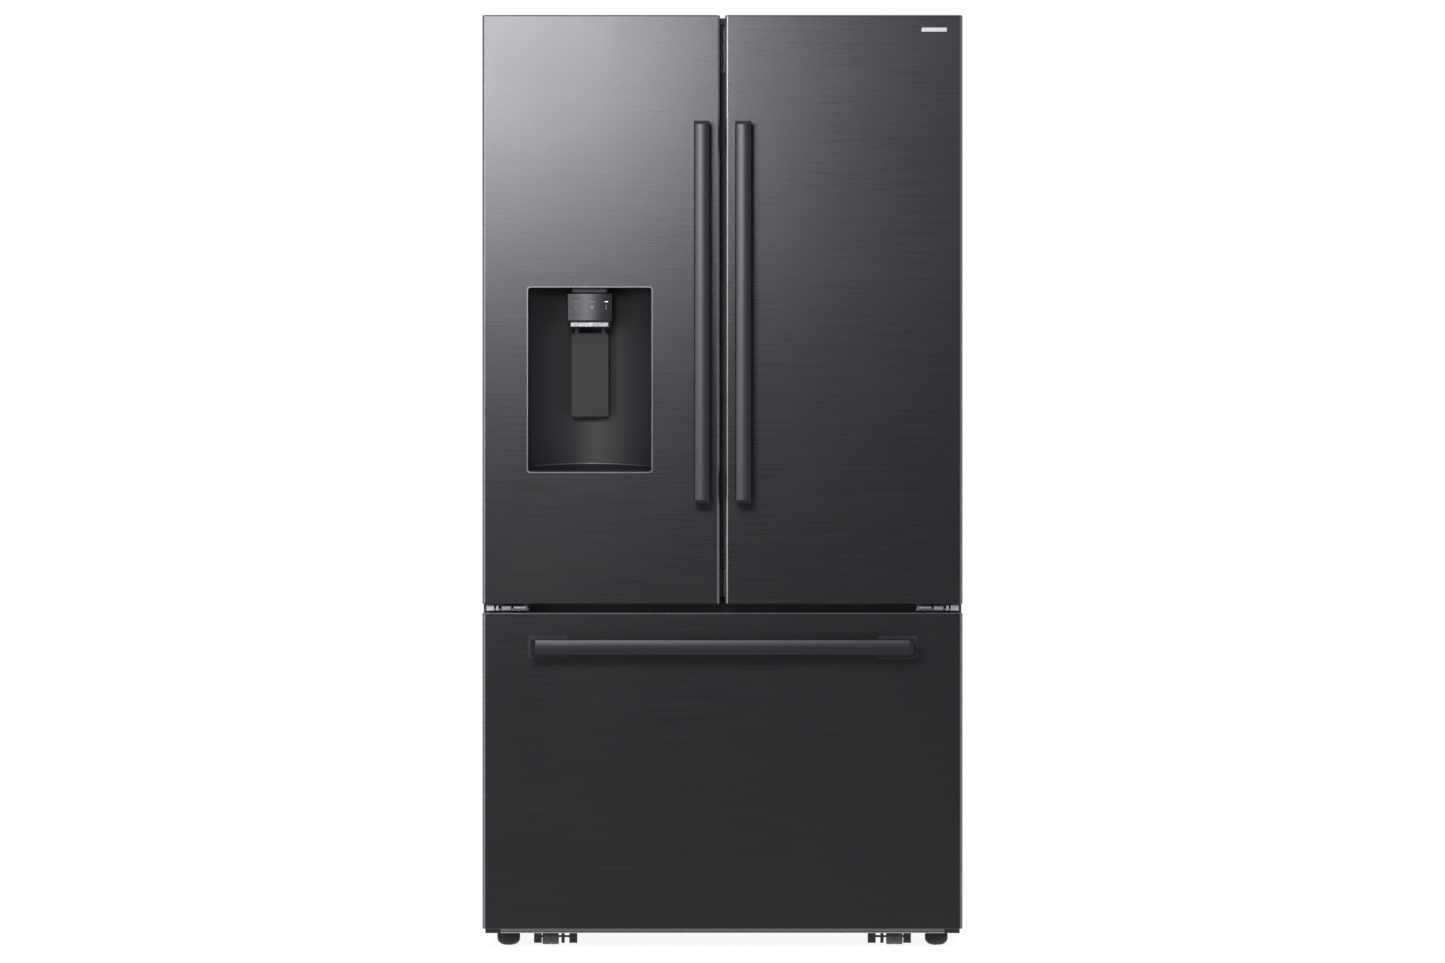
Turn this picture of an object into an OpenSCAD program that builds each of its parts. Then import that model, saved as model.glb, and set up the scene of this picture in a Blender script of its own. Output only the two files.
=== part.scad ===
// French door refrigerator: two hinged upper doors over a pull-out freezer drawer.
// Millimetres. +Z is up, the doors face -Y, and the origin is on the floor under the middle.

/* [Overall size] */
// Width across the two doors
body_w = 908; // [904:1:914]
// Height of the door tops above the floor
body_h = 1762; // [1752:1:1772]
// Depth from the front of the handles to the back
body_d = 927; // [915:1:940]

/* [Doors] */
// Thickness of a door from its steel front to its gasket plane
door_t = 86; // [82:1:88]
// Thickness of the squeezed door gasket
gasket_t = 12.5; // [12:0.5:14]
// Gap between the two upper doors
door_gap = 10; // [9:0.5:12]
// Height of the drawer front's lower edge
drawer_z0 = 34; // [34:1:36]
// Height of the drawer front's upper edge
drawer_z1 = 632; // [631:0.5:632]
// Height of the upper doors' lower edge
upper_z0 = 648; // [648:0.5:649]

/* [Handles] */
// Reach of each handle in front of its door
handle_reach = 62; // [56:1:66]
// Width of a handle bar
bar_w = 30; // [26:1:32]
// Length of each handle
handle_len = 722; // [700:1:730]

/* [Dispenser] */
// Width of the dispenser recess
recess_w = 234; // [228:1:236]
// Height of the dispenser recess
recess_h = 349; // [345:1:352]
// Depth of the recess at its middle
recess_d = 92; // [88:1:94]

/* [Hidden] */
$fn = 48;

// Planes from front to back
half_w = body_w / 2;
y_front = -body_d / 2 + handle_reach;
y_flange = y_front + door_t;
y_case = y_flange + gasket_t;
y_back = body_d / 2;

// Cabinet
sheet = 1;
liner_t = 2;
case_half = half_w - 1;
case_z0 = 46;
case_z1 = body_h - 16;
case_back = y_back - 8.5;
face_w = 36;
cavity_half = 410;
cavity_back = case_back - 65;
fridge_z = [690, case_z1 - 50];
freezer_z = [90, 600];
low_back = 165;
step_z = 332;
machine_y = 229;
machine_z = 262;

// Door swing axis, shared by the top and middle hinges
hinge_x = -(half_w - 14);
hinge_y = y_front + 30;
pin_r = 6;
pin_gap = 0.1;
arm_z = [case_z1, case_z1 + 4];
pocket_z = case_z1 - 4;
raised_x = hinge_x + 62;
mid_leaf_z = [636, 640];

// Upper door, drawn as the left one
door_x = [-half_w, -door_gap / 2];
cap_t = 24;
clear = 0.2;
corner_r = 5;
dyke_x = [-400, -48];
dyke_z = [fridge_z[0] + 4, fridge_z[1] - 4];
dyke_d = 40;
dyke_w = 28;
dyke_r = 14;
well_d = 12;
well_x = [dyke_x[0] + dyke_w, dyke_x[1] - dyke_w];
well_z = [dyke_z[0] + dyke_w, dyke_z[1] - dyke_w];
left_wells = [[well_z[0], 878], [1472, well_z[1]]];
seal_w = 14;
seal_x = [-438, -12];
seal_z = [upper_z0 + 6, case_z1 - 10];

// Drawer front
front_seal_x = [-438, 438];
front_seal_z = [50, 624];
front_dyke_x = [-400, 400];
front_dyke_z = [98, 592];
front_dyke_d = 30;

// Dispenser
disp_x = -251;
recess_x = [disp_x - recess_w / 2, disp_x + recess_w / 2];
recess_z = [898, 898 + recess_h];
side_d = 45;
bowl_half = recess_w / 2;
bowl_r = (pow(bowl_half, 2) + pow(recess_d - side_d, 2)) / (2 * (recess_d - side_d));
house_t = 3;
house_y = [y_front + sheet + clear, y_front + recess_d + house_t];
head_w = 87.5;
head_z = [1182.5, recess_z[1] - 5];
nozzle_z = 1171.5;
paddle_w = 71.5;
paddle_z = [1002, 1162];
paddle_y = [y_front + 60, y_front + 65];
paddle_axis = [y_front + 70, 1192];
spout_y = [y_front + 28, y_front + 52];
chute_z = [1410, 1458];
chute_half = 36;

// Flip mullion, folded back along the left door's free edge
fold_axis = [-34, y_case + 9.5];
mullion_z = [706, fridge_z[1] - 32];
mullion_y = [fold_axis[1] - 6, fold_axis[1] + 60];
mullion_x = [fold_axis[0] - 9, fold_axis[0] + 9];

// Bins that hang on the upper doors
bin_x = [-366, -82];
bin_y = [y_flange - 10, y_flange + 105];
bin_h = 112;
bin_t = 2.5;
left_bin_z = [1486, 728];
right_bin_z = [1470, 1150, 728];

// Shelves, crispers and the ice maker's room
shelf_y = [-190, cavity_back - 24];
shelf_t = 14;
cover_z = 905;
left_shelf_z = [1150];
right_shelf_z = [1140, 1400];
crisper_x = [-385, -8];
crisper_y = [-170, 320];
crisper_z = [696, 880];
ice_x = [-cavity_half, -122];
ice_y = [-185, cavity_back - 30];
ice_z = [1404, fridge_z[1]];

// Freezer insides
rail_z = [140, 176];
rail_y = [y_flange + front_dyke_d + 0.5, 150];
basket_x = [-372, 372];
basket_y = [rail_y[0] + 15, 140];
basket_z = [150, 400];
tray_x = [-396, 396];
tray_y = [rail_y[0] + 17, 318];
tray_z = [436, 560];

// Feet and wheels
strip_z = [23.5, 33];
strip_half = 421;
foot_x = 406;
foot_y = -265;
foot_r = 21.5;
foot_flat = 0.3;
stud_r = 5;
front_wheel_r = 15.5;
front_wheel_x = [311, 342];
front_wheel_y = -250;
rear_wheel_r = 20;
rear_wheel_x = [318, 342];
rear_wheel_y = 400;
axle_r = 2;
frame_z = [23, case_z0];

// ---------- shapes ----------

// A box between two corners, each axis given as [low, high]
module block(x, y, z) {
    translate([x[0], y[0], z[0]]) cube([x[1] - x[0], y[1] - y[0], z[1] - z[0]]);
}

module rounded(a, b, r) {
    translate([a[0] + r, b[0]]) square([a[1] - a[0] - 2 * r, b[1] - b[0]]);
    translate([a[0], b[0] + r]) square([a[1] - a[0], b[1] - b[0] - 2 * r]);
    for (u = [a[0] + r, a[1] - r]) for (v = [b[0] + r, b[1] - r]) translate([u, v]) circle(r);
}

// Rounded blocks, named by the axis they are extruded along
module slab_x(x, y, z, r) {
    translate([x[0], 0, 0]) rotate([90, 0, 90]) linear_extrude(x[1] - x[0]) rounded(y, z, r);
}

module slab_y(x, y, z, r) {
    translate([0, y[1], 0]) rotate([90, 0, 0]) linear_extrude(y[1] - y[0]) rounded(x, z, r);
}

module slab_z(x, y, z, r) {
    translate([0, 0, z[0]]) linear_extrude(z[1] - z[0]) rounded(x, y, r);
}

module rod_x(x, y, z, r) {
    translate([x[0], y, z]) rotate([0, 90, 0]) cylinder(r = r, h = x[1] - x[0]);
}

module rod_z(x, y, z, r) {
    translate([x, y, z[0]]) cylinder(r = r, h = z[1] - z[0]);
}

module both_sides() {
    children();
    mirror([1, 0, 0]) children();
}

function grow(a, d) = [a[0] - d, a[1] + d];

// ---------- cabinet ----------

module cabinet_shell() {
    y = [y_case, case_back];
    z = [case_z0, case_z1];
    color("dimgray") {
        both_sides() block([-case_half, -case_half + sheet], y, z);
        block([-case_half, case_half], y, [case_z1 - sheet, case_z1]);
        block([-case_half, case_half], [y_case, machine_y], [case_z0, case_z0 + sheet]);
        both_sides() block([-case_half, -case_half + face_w], [y_case, y_case + sheet], z);
        block([-case_half, case_half], [y_case, y_case + sheet], [case_z1 - face_w, case_z1]);
    }
}

module back_panel() {
    color("silver") difference() {
        block([-case_half, case_half], [case_back, case_back + sheet], [machine_z, case_z1]);
        // Pressed hand holds beside the upper corners
        both_sides() slab_y([-380, -250], [case_back - 1, case_back + 2], [1600, 1640], 18);
    }
}

module fridge_space(d) {
    block(grow([-cavity_half, cavity_half], d), [y_case - 1, cavity_back + d], grow(fridge_z, d));
}

module freezer_space(d) {
    x = grow([-cavity_half, cavity_half], d);
    block(x, [y_case - 1, low_back + d], grow(freezer_z, d));
    block(x, [y_case - 1, cavity_back + d], grow([step_z, freezer_z[1]], d));
}

module cabinet_insulation() {
    color("khaki") difference() {
        block(grow([-case_half, case_half], -sheet), [y_case + liner_t, case_back],
              [case_z0 + sheet, case_z1 - sheet]);
        fridge_space(liner_t);
        freezer_space(liner_t);
        block([-half_w, half_w], [machine_y, y_back], [0, machine_z]);
    }
}

// Ledge moulded in a side wall, which a shelf rests on
module ledge(z) {
    block([-cavity_half - 1, -cavity_half + 6], [shelf_y[0] + 10, shelf_y[1] - 20], [z - 8, z]);
}

// Curved guide on the ceiling, which turns the mullion's pin as the left door shuts
module mullion_guide() {
    difference() {
        slab_z([-44, 24], [-296, -226], [fridge_z[1] - 14, fridge_z[1] + 1], 6);
        translate([fold_axis[0], fold_axis[1], fridge_z[1] - 15]) difference() {
            cylinder(r = 60, h = 9);
            translate([0, 0, -1]) cylinder(r = 48, h = 11);
        }
    }
}

module fridge_liner() {
    flange_x = grow([-case_half, case_half], -face_w - 0.5);
    flange_z = [fridge_z[0] - liner_t, case_z1 - face_w - 0.5];
    color("whitesmoke") {
        difference() {
            union() {
                block(flange_x, [y_case, y_case + liner_t], flange_z);
                block(grow([-cavity_half, cavity_half], liner_t),
                      [y_case, cavity_back + liner_t], grow(fridge_z, liner_t));
            }
            fridge_space(0);
        }
        for (z = left_shelf_z) ledge(z - shelf_t);
        mirror([1, 0, 0]) for (z = right_shelf_z) ledge(z - shelf_t);
        both_sides() {
            ledge(cover_z - shelf_t);
            // Runners under a crisper
            for (x = [crisper_x[0] + 5, crisper_x[1] - 15])
                block([x, x + 10], crisper_y, [fridge_z[0] - 1, crisper_z[0] - 0.3]);
        }
        mullion_guide();
    }
}

module freezer_liner() {
    flange_x = grow([-case_half, case_half], -face_w - 0.5);
    color("whitesmoke") {
        difference() {
            union() {
                block(flange_x, [y_case, y_case + liner_t],
                      [case_z0 + sheet + 0.5, freezer_z[1] + liner_t]);
                intersection() {
                    freezer_space(liner_t);
                    block([-half_w, half_w], [y_case, y_back], [0, body_h]);
                }
            }
            freezer_space(0);
        }
        // Ledges that the upper tray slides on
        both_sides() block([-cavity_half - 1, -tray_x[1] + 8], [tray_y[0] + 10, tray_y[1] - 10],
                           [tray_z[0] + 60, tray_z[0] + 68]);
    }
}

module center_rail() {
    x = grow([-case_half, case_half], -face_w - 0.5);
    color([0.1, 0.1, 0.11])
        block(x, [y_case, y_case + liner_t],
              [freezer_z[1] + liner_t + 0.5, fridge_z[0] - liner_t - 0.5]);
}

module top_cover() {
    back = y_case + 113;
    z = [case_z1, body_h - 3];
    hood_x = [-case_half + 3, raised_x - 8];
    wall = 2.5;
    color([0.13, 0.13, 0.14]) difference() {
        union() {
            block([-case_half + 3, case_half - 3], [y_case + 3, back], z);
            both_sides() block(hood_x, [hinge_y - 20, y_case + 4], [arm_z[1] + 2, z[1]]);
        }
        block([-case_half + 3 + wall, case_half - 3 - wall],
              [y_case + 3 + wall, back - wall], [z[0] - 1, z[1] - wall]);
        both_sides() block(grow(hood_x, -wall), [hinge_y - 20 + wall, y_case + 10],
                           [z[0] - 1, z[1] - wall]);
    }
}

module top_hinges() {
    color("silver") both_sides() {
        rod_z(hinge_x, hinge_y, arm_z, 13);
        block([hinge_x - 6, hinge_x + 22], [hinge_y, y_case], arm_z);
        block([hinge_x - 4, hinge_x + 48], [y_case - 1, y_case + 90], arm_z);
        rod_z(hinge_x, hinge_y, [pocket_z - 20, arm_z[0] + 1], pin_r);
    }
}

module middle_hinges() {
    x = [hinge_x - 7, hinge_x + 76];
    color("silver") both_sides() {
        slab_z(x, [hinge_y - 14, y_case - 1], mid_leaf_z, 6);
        block(x, [y_case - 3, y_case], [627, 653]);
        rod_z(hinge_x, hinge_y, [mid_leaf_z[1] - 1, mid_leaf_z[1] + 5], 7 + 0.5);
        rod_z(hinge_x, hinge_y, [mid_leaf_z[0], upper_z0 + 18], pin_r);
        // Height adjusting nut and the closing cam's spring post
        rod_z(hinge_x + 32, hinge_y + 14, [mid_leaf_z[0] - 2, mid_leaf_z[1] + 4], 8);
        rod_z(hinge_x + 56, hinge_y + 14, [mid_leaf_z[0] - 2, mid_leaf_z[1] + 4], 5);
    }
}

module base_frame() {
    color("darkgray") difference() {
        union() {
            difference() {
                union() {
                    block([-450, 450], [y_case + 4, y_case + 64], frame_z);
                    both_sides() block([-450, -400], [y_case + 60, y_back - 12], [30, frame_z[1]]);
                    block([-450, 450], [machine_y + 1, y_back - 12], [41, frame_z[1]]);
                }
                // The front rollers turn in wells in the cross member
                both_sides() block([-front_wheel_x[1] - 1.5, -front_wheel_x[0] + 1.5],
                                   [front_wheel_y - 18, front_wheel_y + 18], [0, 34]);
            }
            // Front roller brackets: a block, a thin web and a block, with the axle through them
            both_sides() {
                for (x = [[-358, -343.5], [-306, -300], [-291, -276]])
                    slab_x(x, [front_wheel_y - 16, front_wheel_y + 16], [3.5, 30], 3);
                rod_x([-358, -276], front_wheel_y, front_wheel_r + 0.5, axle_r);
                for (x = [[-352, -345], [-315, -308]])
                    slab_x(x, [rear_wheel_y - 18, rear_wheel_y + 18], [6, 44], 5);
                rod_x([-352, -308], rear_wheel_y, rear_wheel_r, axle_r);
            }
        }
        both_sides() rod_z(-foot_x, foot_y, [20, 50], stud_r + pin_gap);
    }
}

module base_trim() {
    y = [y_case - 15, y_case + 4];
    color("gray") block([-strip_half, strip_half], y, strip_z);
    color([0.12, 0.12, 0.13]) both_sides() block([-case_half + 4, -strip_half - 0.3], y, strip_z);
}

module wheel(x, y, z, r) {
    difference() {
        rod_x(x, y, z, r);
        rod_x(grow(x, 1), y, z, axle_r + pin_gap);
    }
}

module front_rollers() {
    color([0.2, 0.2, 0.21]) both_sides()
        wheel(front_wheel_x, front_wheel_y, front_wheel_r + 0.5, front_wheel_r);
}

module rear_rollers() {
    color([0.2, 0.2, 0.21]) both_sides() wheel(rear_wheel_x, rear_wheel_y, rear_wheel_r, rear_wheel_r);
}

// Levelling leg: a knurled foot with a domed sole on a threaded stud
module leg() {
    sole = 8;
    dome = (pow(foot_r, 2) + pow(sole, 2)) / (2 * sole);
    color([0.13, 0.13, 0.14]) translate([-foot_x, foot_y, 0]) {
        intersection() {
            cylinder(r = foot_r, h = 22.4);
            translate([0, 0, dome - foot_flat]) sphere(dome, $fn = 96);
        }
        translate([0, 0, 22]) cylinder(r = stud_r, h = 22.5);
    }
}

module left_leg() leg();

module right_leg() mirror([1, 0, 0]) leg();

// ---------- cooling ----------

module compressor() {
    r = 74;
    color([0.1, 0.1, 0.1]) {
        translate([-290, 345, 58]) {
            translate([0, 0, 30]) cylinder(r = r, h = 90);
            translate([0, 0, 30]) intersection() {
                sphere(r, $fn = 64);
                translate([-r, -r, -27]) cube([2 * r, 2 * r, 28]);
            }
            translate([0, 0, 119]) intersection() {
                sphere(r, $fn = 64);
                translate([-r, -r, 0]) cube([2 * r, 2 * r, 60]);
            }
        }
        block([-390, -190], [275, 415], [58, 62]);
        for (x = [-380, -200]) for (y = [285, 405]) rod_z(x, y, [case_z0, 58.5], 9);
        // Discharge line to the condenser
        rod_x([-290, 70], 415, 80, 4);
    }
}

module condenser() {
    color("dimgray") {
        // Shroud plate with the fan opening, and the motor behind it on three arms
        difference() {
            block([-34, -30], [250, 440], [case_z0, 250]);
            rod_x([-36, -28], 345, 150, 82);
            rod_x([-36, -28], 415, 80, 5);
        }
        rod_x([-4, 36], 345, 150, 24);
        rod_x([-26, -3], 345, 150, 3);
        for (a = [90, 210, 330]) translate([0, 345, 150]) rotate([a, 0, 0]) {
            translate([0, 18, -4]) cube([8, 74, 8]);
            translate([-31, 84, -4]) cube([39, 8, 8]);
        }
        // Three rows of tube with plate fins
        for (y = [275, 345, 415]) for (z = [80, 130, 180, 230]) rod_x([70, 400], y, z, 4);
        for (i = [0:12]) block([80 + 25 * i, 82 + 25 * i], [255, 435], [case_z0, 248]);
    }
}

module condenser_fan() {
    color("black") {
        difference() {
            rod_x([-29, -6], 345, 150, 22);
            rod_x([-27, -5], 345, 150, 3 + pin_gap);
        }
        for (i = [0:4]) translate([-18, 345, 150]) rotate([72 * i, 0, 0]) rotate([0, 28, 0])
            translate([-1.2, 18, -24]) cube([2.4, 56, 48]);
    }
}

valve_x = [-430, -350];
valve_z = [140, 230];
plug_x = [-314, -286];
plug_z = [169.7, 190.3];

module machine_cover() {
    plate = 1.5;
    color("dimgray") difference() {
        union() {
            block(grow([-case_half, case_half], -0.2), [case_back, case_back + plate],
                  [case_z0 + 1, machine_z - 2]);
            // Pressed frame round the vents
            slab_y([-200, 430], [case_back + plate - 0.5, y_back], [70, 240], 10);
        }
        slab_y(valve_x, [case_back - 1, case_back + 3], valve_z, 6);
        slab_y(plug_x, [case_back - 1, case_back + 3], plug_z, 2);
        slab_y([-197, 427], [case_back - 1, y_back - 1.5], [73, 237], 8);
        for (x = [-170 : 60 : 370]) for (z = [90 : 18 : 216])
            slab_y([x, x + 46], [y_back - 4, y_back + 1], [z, z + 7], 3);
    }
}

module utility_inlets() {
    color("gainsboro") {
        // Water valve on its plate, with a 7/16 inch threaded inlet that faces backwards
        block(grow(valve_x, 6), [case_back - 3, case_back], grow(valve_z, 6));
        slab_y([-415, -365], [case_back - 50, case_back - 2], [155, 215], 5);
        translate([-390, y_back - 0.5, 185]) rotate([90, 0, 0]) cylinder(r = 5.56, h = 30);
        // Mains inlet with three pins
        difference() {
            union() {
                slab_y(grow(plug_x, 2), [case_back + 1.5, case_back + 4], grow(plug_z, 2), 3);
                slab_y(grow(plug_x, -0.3), [case_back - 20, case_back + 2], grow(plug_z, -0.3), 2);
            }
            slab_y(grow(plug_x, -1.8), [case_back - 15, case_back + 5], grow(plug_z, -1.8), 2);
        }
        for (p = [[-307, 0], [-300, 4], [-293, 0]]) translate([p[0], case_back - 16, 178 + p[1]])
            translate([-1, 0, -2]) cube([2, 13, 4]);
    }
}

module evaporator() {
    color("lightgray") {
        for (z = [370, 420, 470, 520]) rod_x([-300, 300], cavity_back - 22, z, 4);
        for (i = [0:20]) block([-290 + 29 * i, -288.5 + 29 * i],
                               [cavity_back - 38, cavity_back], [352, 540]);
    }
}

module duct_covers() {
    color("white") {
        difference() {
            slab_y([-118, 118], [cavity_back - 24, cavity_back], [fridge_z[0] + 30, fridge_z[1] - 8], 10);
            block([-112, 112], [cavity_back - 20, cavity_back + 1], [fridge_z[0] + 36, fridge_z[1] - 14]);
            for (z = [980, 1230, 1480, 1600]) for (x = [-70, 30])
                slab_y([x, x + 40], [cavity_back - 26, cavity_back - 18], [z, z + 9], 4);
        }
        difference() {
            block([-cavity_half, cavity_half], [cavity_back - 46, cavity_back - 43],
                  [step_z, freezer_z[1]]);
            for (x = [-280 : 80 : 200])
                slab_y([x, x + 60], [cavity_back - 50, cavity_back - 40], [566, 576], 4);
        }
    }
}

// ---------- inside the fridge ----------

module shelf_spots() {
    for (z = left_shelf_z) translate([0, 0, z]) children();
    for (z = right_shelf_z) translate([0, 0, z]) mirror([1, 0, 0]) children();
}

half_shelf = [-cavity_half + 2, -5];
full_shelf = [-cavity_half + 2, cavity_half - 2];
rim = 16;
pane_t = 3.2;

module shelf_rim(x) {
    difference() {
        slab_z(x, shelf_y, [-shelf_t, 0], 6);
        slab_z(grow(x, -rim), grow(shelf_y, -rim), [-shelf_t - 1, 1], 4);
        slab_z(grow(x, -rim + 6), grow(shelf_y, -rim + 6), [-pane_t, 1], 5);
    }
}

module pane(x) {
    slab_z(grow(x, -rim + 5.8), grow(shelf_y, -rim + 5.8), [-pane_t, 0], 5);
}

module shelf_frames() {
    color("lightgray") {
        shelf_spots() shelf_rim(half_shelf);
        translate([0, 0, cover_z]) shelf_rim(full_shelf);
    }
}

module shelf_glass() {
    color("lightcyan") {
        shelf_spots() pane(half_shelf);
        translate([0, 0, cover_z]) pane(full_shelf);
    }
}

// Open-topped box with a floor and four walls
module tub(x, y, z, r, t) {
    difference() {
        slab_z(x, y, z, r);
        slab_z(grow(x, -t), grow(y, -t), [z[0] + t, z[1] + 1], r - t / 2);
    }
}

module crisper() {
    lip = 12;
    color("lightcyan") {
        tub(crisper_x, crisper_y, crisper_z, 8, 2.5);
        // Pull lip along the front
        block([crisper_x[0] + 30, crisper_x[1] - 30],
              [crisper_y[0] - lip, crisper_y[0] + 1], [crisper_z[1] - 16, crisper_z[1] - 10]);
    }
}

module left_crisper() crisper();

module right_crisper() mirror([1, 0, 0]) crisper();

// Insulated room with the ice tray above its bucket, and an outlet that meets the door's chute
module ice_maker() {
    wall = 14;
    color("whitesmoke") {
        difference() {
            slab_y(ice_x, ice_y, ice_z, 8);
            block(grow(ice_x, -wall), [ice_y[0] + wall, ice_y[1] - wall], grow(ice_z, -wall));
            slab_y([disp_x - 38, disp_x + 38], [ice_y[0] - 1, ice_y[0] + 30], grow(chute_z, -10), 4);
        }
        difference() {
            slab_y([disp_x - 50, disp_x + 50], [ice_y[0] - 28, ice_y[0]], chute_z, 6);
            slab_y([disp_x - 38, disp_x + 38], [ice_y[0] - 29, ice_y[0] + 1], grow(chute_z, -10), 4);
        }
        // Bucket
        tub(grow(ice_x, -20), [ice_y[0] + 22, 250], [ice_z[0] + wall - 0.5, 1580], 6, 3);
        // Ice tray on the rear wall, eight pockets
        difference() {
            block([-330, -200], [20, 320], [1610, 1650]);
            for (i = [0:7]) block([-322, -208], [28 + 36 * i, 58 + 36 * i], [1620, 1651]);
        }
        block([-340, -190], [319, ice_y[1] - wall + 1], [1600, 1660]);
    }
}

// ---------- upper doors, drawn as the left one ----------

module door_skin(z, top_notch) {
    difference() {
        slab_z(door_x, [y_front, y_flange + 20], z, corner_r);
        translate([0, 0, -1]) slab_z(grow(door_x, -sheet), [y_front + sheet, y_flange + 40],
                                     [z[0], z[1] + 2], corner_r - sheet);
        block(grow(door_x, 1), [y_flange, y_flange + 50], grow(z, 1));
        if (top_notch) block([door_x[0] - 1, door_x[0] + 3], [y_front + 8, y_flange + 1],
                             [pocket_z, z[1] + 1]);
    }
}

module handle_holes(z) {
    for (h = z) translate([0, y_front - 1, h]) rotate([-90, 0, 0]) cylinder(r = 3.2, h = 3);
}

handle_z = [839, 839 + handle_len];
post_z = [handle_z[0] + 30, handle_z[1] - 30];
handle_x = -39;

module upper_skin() {
    difference() {
        door_skin([upper_z0, body_h], true);
        translate([handle_x, 0, 0]) handle_holes(post_z);
    }
}

module left_door_skin() {
    color([0.3, 0.3, 0.32]) difference() {
        upper_skin();
        slab_y(recess_x, [y_front - 1, y_front + 2], recess_z, 4);
    }
}

module right_door_skin() color([0.25, 0.25, 0.27]) mirror([1, 0, 0]) upper_skin();

module upper_caps() {
    x = grow(door_x, -sheet - clear);
    y = [y_front + sheet + clear, y_flange];
    color([0.12, 0.12, 0.13]) {
        difference() {
            slab_z(x, y, [upper_z0 + 1, upper_z0 + 1 + cap_t], corner_r - sheet);
            rod_z(hinge_x, hinge_y, [upper_z0, upper_z0 + 20], pin_r + pin_gap);
        }
        difference() {
            union() {
                slab_z(x, y, [pocket_z - cap_t, pocket_z], corner_r - sheet);
                slab_z([raised_x, x[1]], y, [pocket_z - 1, body_h - 2], corner_r - sheet);
            }
            rod_z(hinge_x, hinge_y, [pocket_z - 21, pocket_z + 1], pin_r + pin_gap);
        }
    }
}

module left_door_caps() upper_caps();

module right_door_caps() mirror([1, 0, 0]) upper_caps();

fill_z = [upper_z0 + 1 + cap_t, pocket_z - cap_t];

module wells(list, d) {
    for (z = list) slab_y(grow(well_x, d), [y_flange - well_d - d, y_flange + dyke_d + 1],
                          grow(z, d), dyke_r - 6 + d);
}

// Everything inside the skin, caps and liner
module upper_fill(list) {
    difference() {
        union() {
            slab_z(grow(door_x, -sheet - clear), [y_front + sheet + clear, y_flange - liner_t], fill_z,
                   corner_r - sheet);
            slab_y(grow(dyke_x, -liner_t), [y_flange - 3, y_flange + dyke_d - liner_t],
                   grow(dyke_z, -liner_t), dyke_r - liner_t);
        }
        wells(list, liner_t);
    }
}

// Lug on the side of a well, which a bin's ledge rests on
module lug(z) {
    for (x = [[well_x[0] - 1, well_x[0] + 4], [well_x[1] - 4, well_x[1] + 1]])
        block(x, [y_flange + 8, y_flange + 34], [z - 7, z]);
}

module upper_liner(list, bins) {
    difference() {
        union() {
            block(grow(door_x, -sheet - clear), [y_flange - liner_t, y_flange], fill_z);
            slab_y(dyke_x, [y_flange - 1, y_flange + dyke_d], dyke_z, dyke_r);
            for (z = list) slab_y(grow(well_x, liner_t), [y_flange - well_d - liner_t, y_flange],
                                  grow(z, liner_t), dyke_r - 4);
        }
        wells(list, 0);
        upper_fill(list);
    }
    for (z = bins) lug(z + bin_h - 22);
}

// Bracket that carries one end of the flip mullion
module fold_bracket(z) {
    difference() {
        block([dyke_x[1] - 1, fold_axis[0] + 8], [fold_axis[1] - 8, fold_axis[1] + 8], z);
        rod_z(fold_axis[0], fold_axis[1], grow(z, 1), 3 + pin_gap);
    }
}

// Ice chute, from a collar that meets the ice maker's outlet down to the dispenser's head
module chute(d) {
    translate([disp_x - chute_half - d, 0, 0]) rotate([90, 0, 90])
        linear_extrude(2 * chute_half + 2 * d)
            polygon([[y_flange + dyke_d, chute_z[1] - 10 + d], [y_flange + dyke_d, chute_z[0] + 10 - d],
                     [spout_y[1] + d, recess_z[1]], [spout_y[0] - d, recess_z[1]],
                     [spout_y[0] - d, recess_z[1] + 24]]);
}

module left_door_liner() {
    color("whitesmoke") difference() {
        union() {
            upper_liner(left_wells, left_bin_z);
            fold_bracket([mullion_z[0] - 10, mullion_z[0] - 2]);
            fold_bracket([mullion_z[1] + 2, mullion_z[1] + 10]);
            slab_y([disp_x - 50, disp_x + 50], [y_flange + dyke_d - 1, ice_y[0] - 31], chute_z, 8);
        }
        slab_y([disp_x - chute_half, disp_x + chute_half], [y_flange + dyke_d - 4, ice_y[0] - 30],
               grow(chute_z, -10), 6);
        chute(liner_t);
    }
}

module left_door_insulation() {
    color("khaki") difference() {
        upper_fill(left_wells);
        block(grow(recess_x, house_t), [y_front, house_y[1]], grow(recess_z, house_t));
        chute(liner_t);
    }
}

module right_door_liner() color("whitesmoke") mirror([1, 0, 0]) upper_liner([well_z], right_bin_z);

module right_door_insulation() color("khaki") mirror([1, 0, 0]) upper_fill([well_z]);

module seal(x, z) {
    difference() {
        slab_y(x, [y_flange, y_case - clear], z, 5);
        slab_y(grow(x, -seal_w), [y_flange - 1, y_case + 1], grow(z, -seal_w), 2);
    }
}

module left_door_gasket() color("gray") seal(seal_x, seal_z);

module right_door_gasket() color("gray") mirror([1, 0, 0]) seal(seal_x, seal_z);

// Flat bar with a crowned front, on two posts; drawn upright
module bar_handle(x, z, post_len) {
    y0 = -body_d / 2;
    crown = 3;
    w = bar_w / 2;
    r = (w * w + crown * crown) / (2 * crown);
    color([0.28, 0.28, 0.3]) {
        translate([x, 0, z[0]]) linear_extrude(z[1] - z[0]) intersection() {
            translate([0, y0 + r]) circle(r, $fn = 128);
            translate([-w, y0 - 1]) square([bar_w, 23]);
        }
        for (p = [[z[0], z[0] + post_len], [z[1] - post_len, z[1]]])
            block([x - w + 2, x + w - 2], [y0 + 21, y_front], p);
    }
}

module left_handle() bar_handle(handle_x, handle_z, 60);

module right_handle() mirror([1, 0, 0]) bar_handle(handle_x, handle_z, 60);

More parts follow.
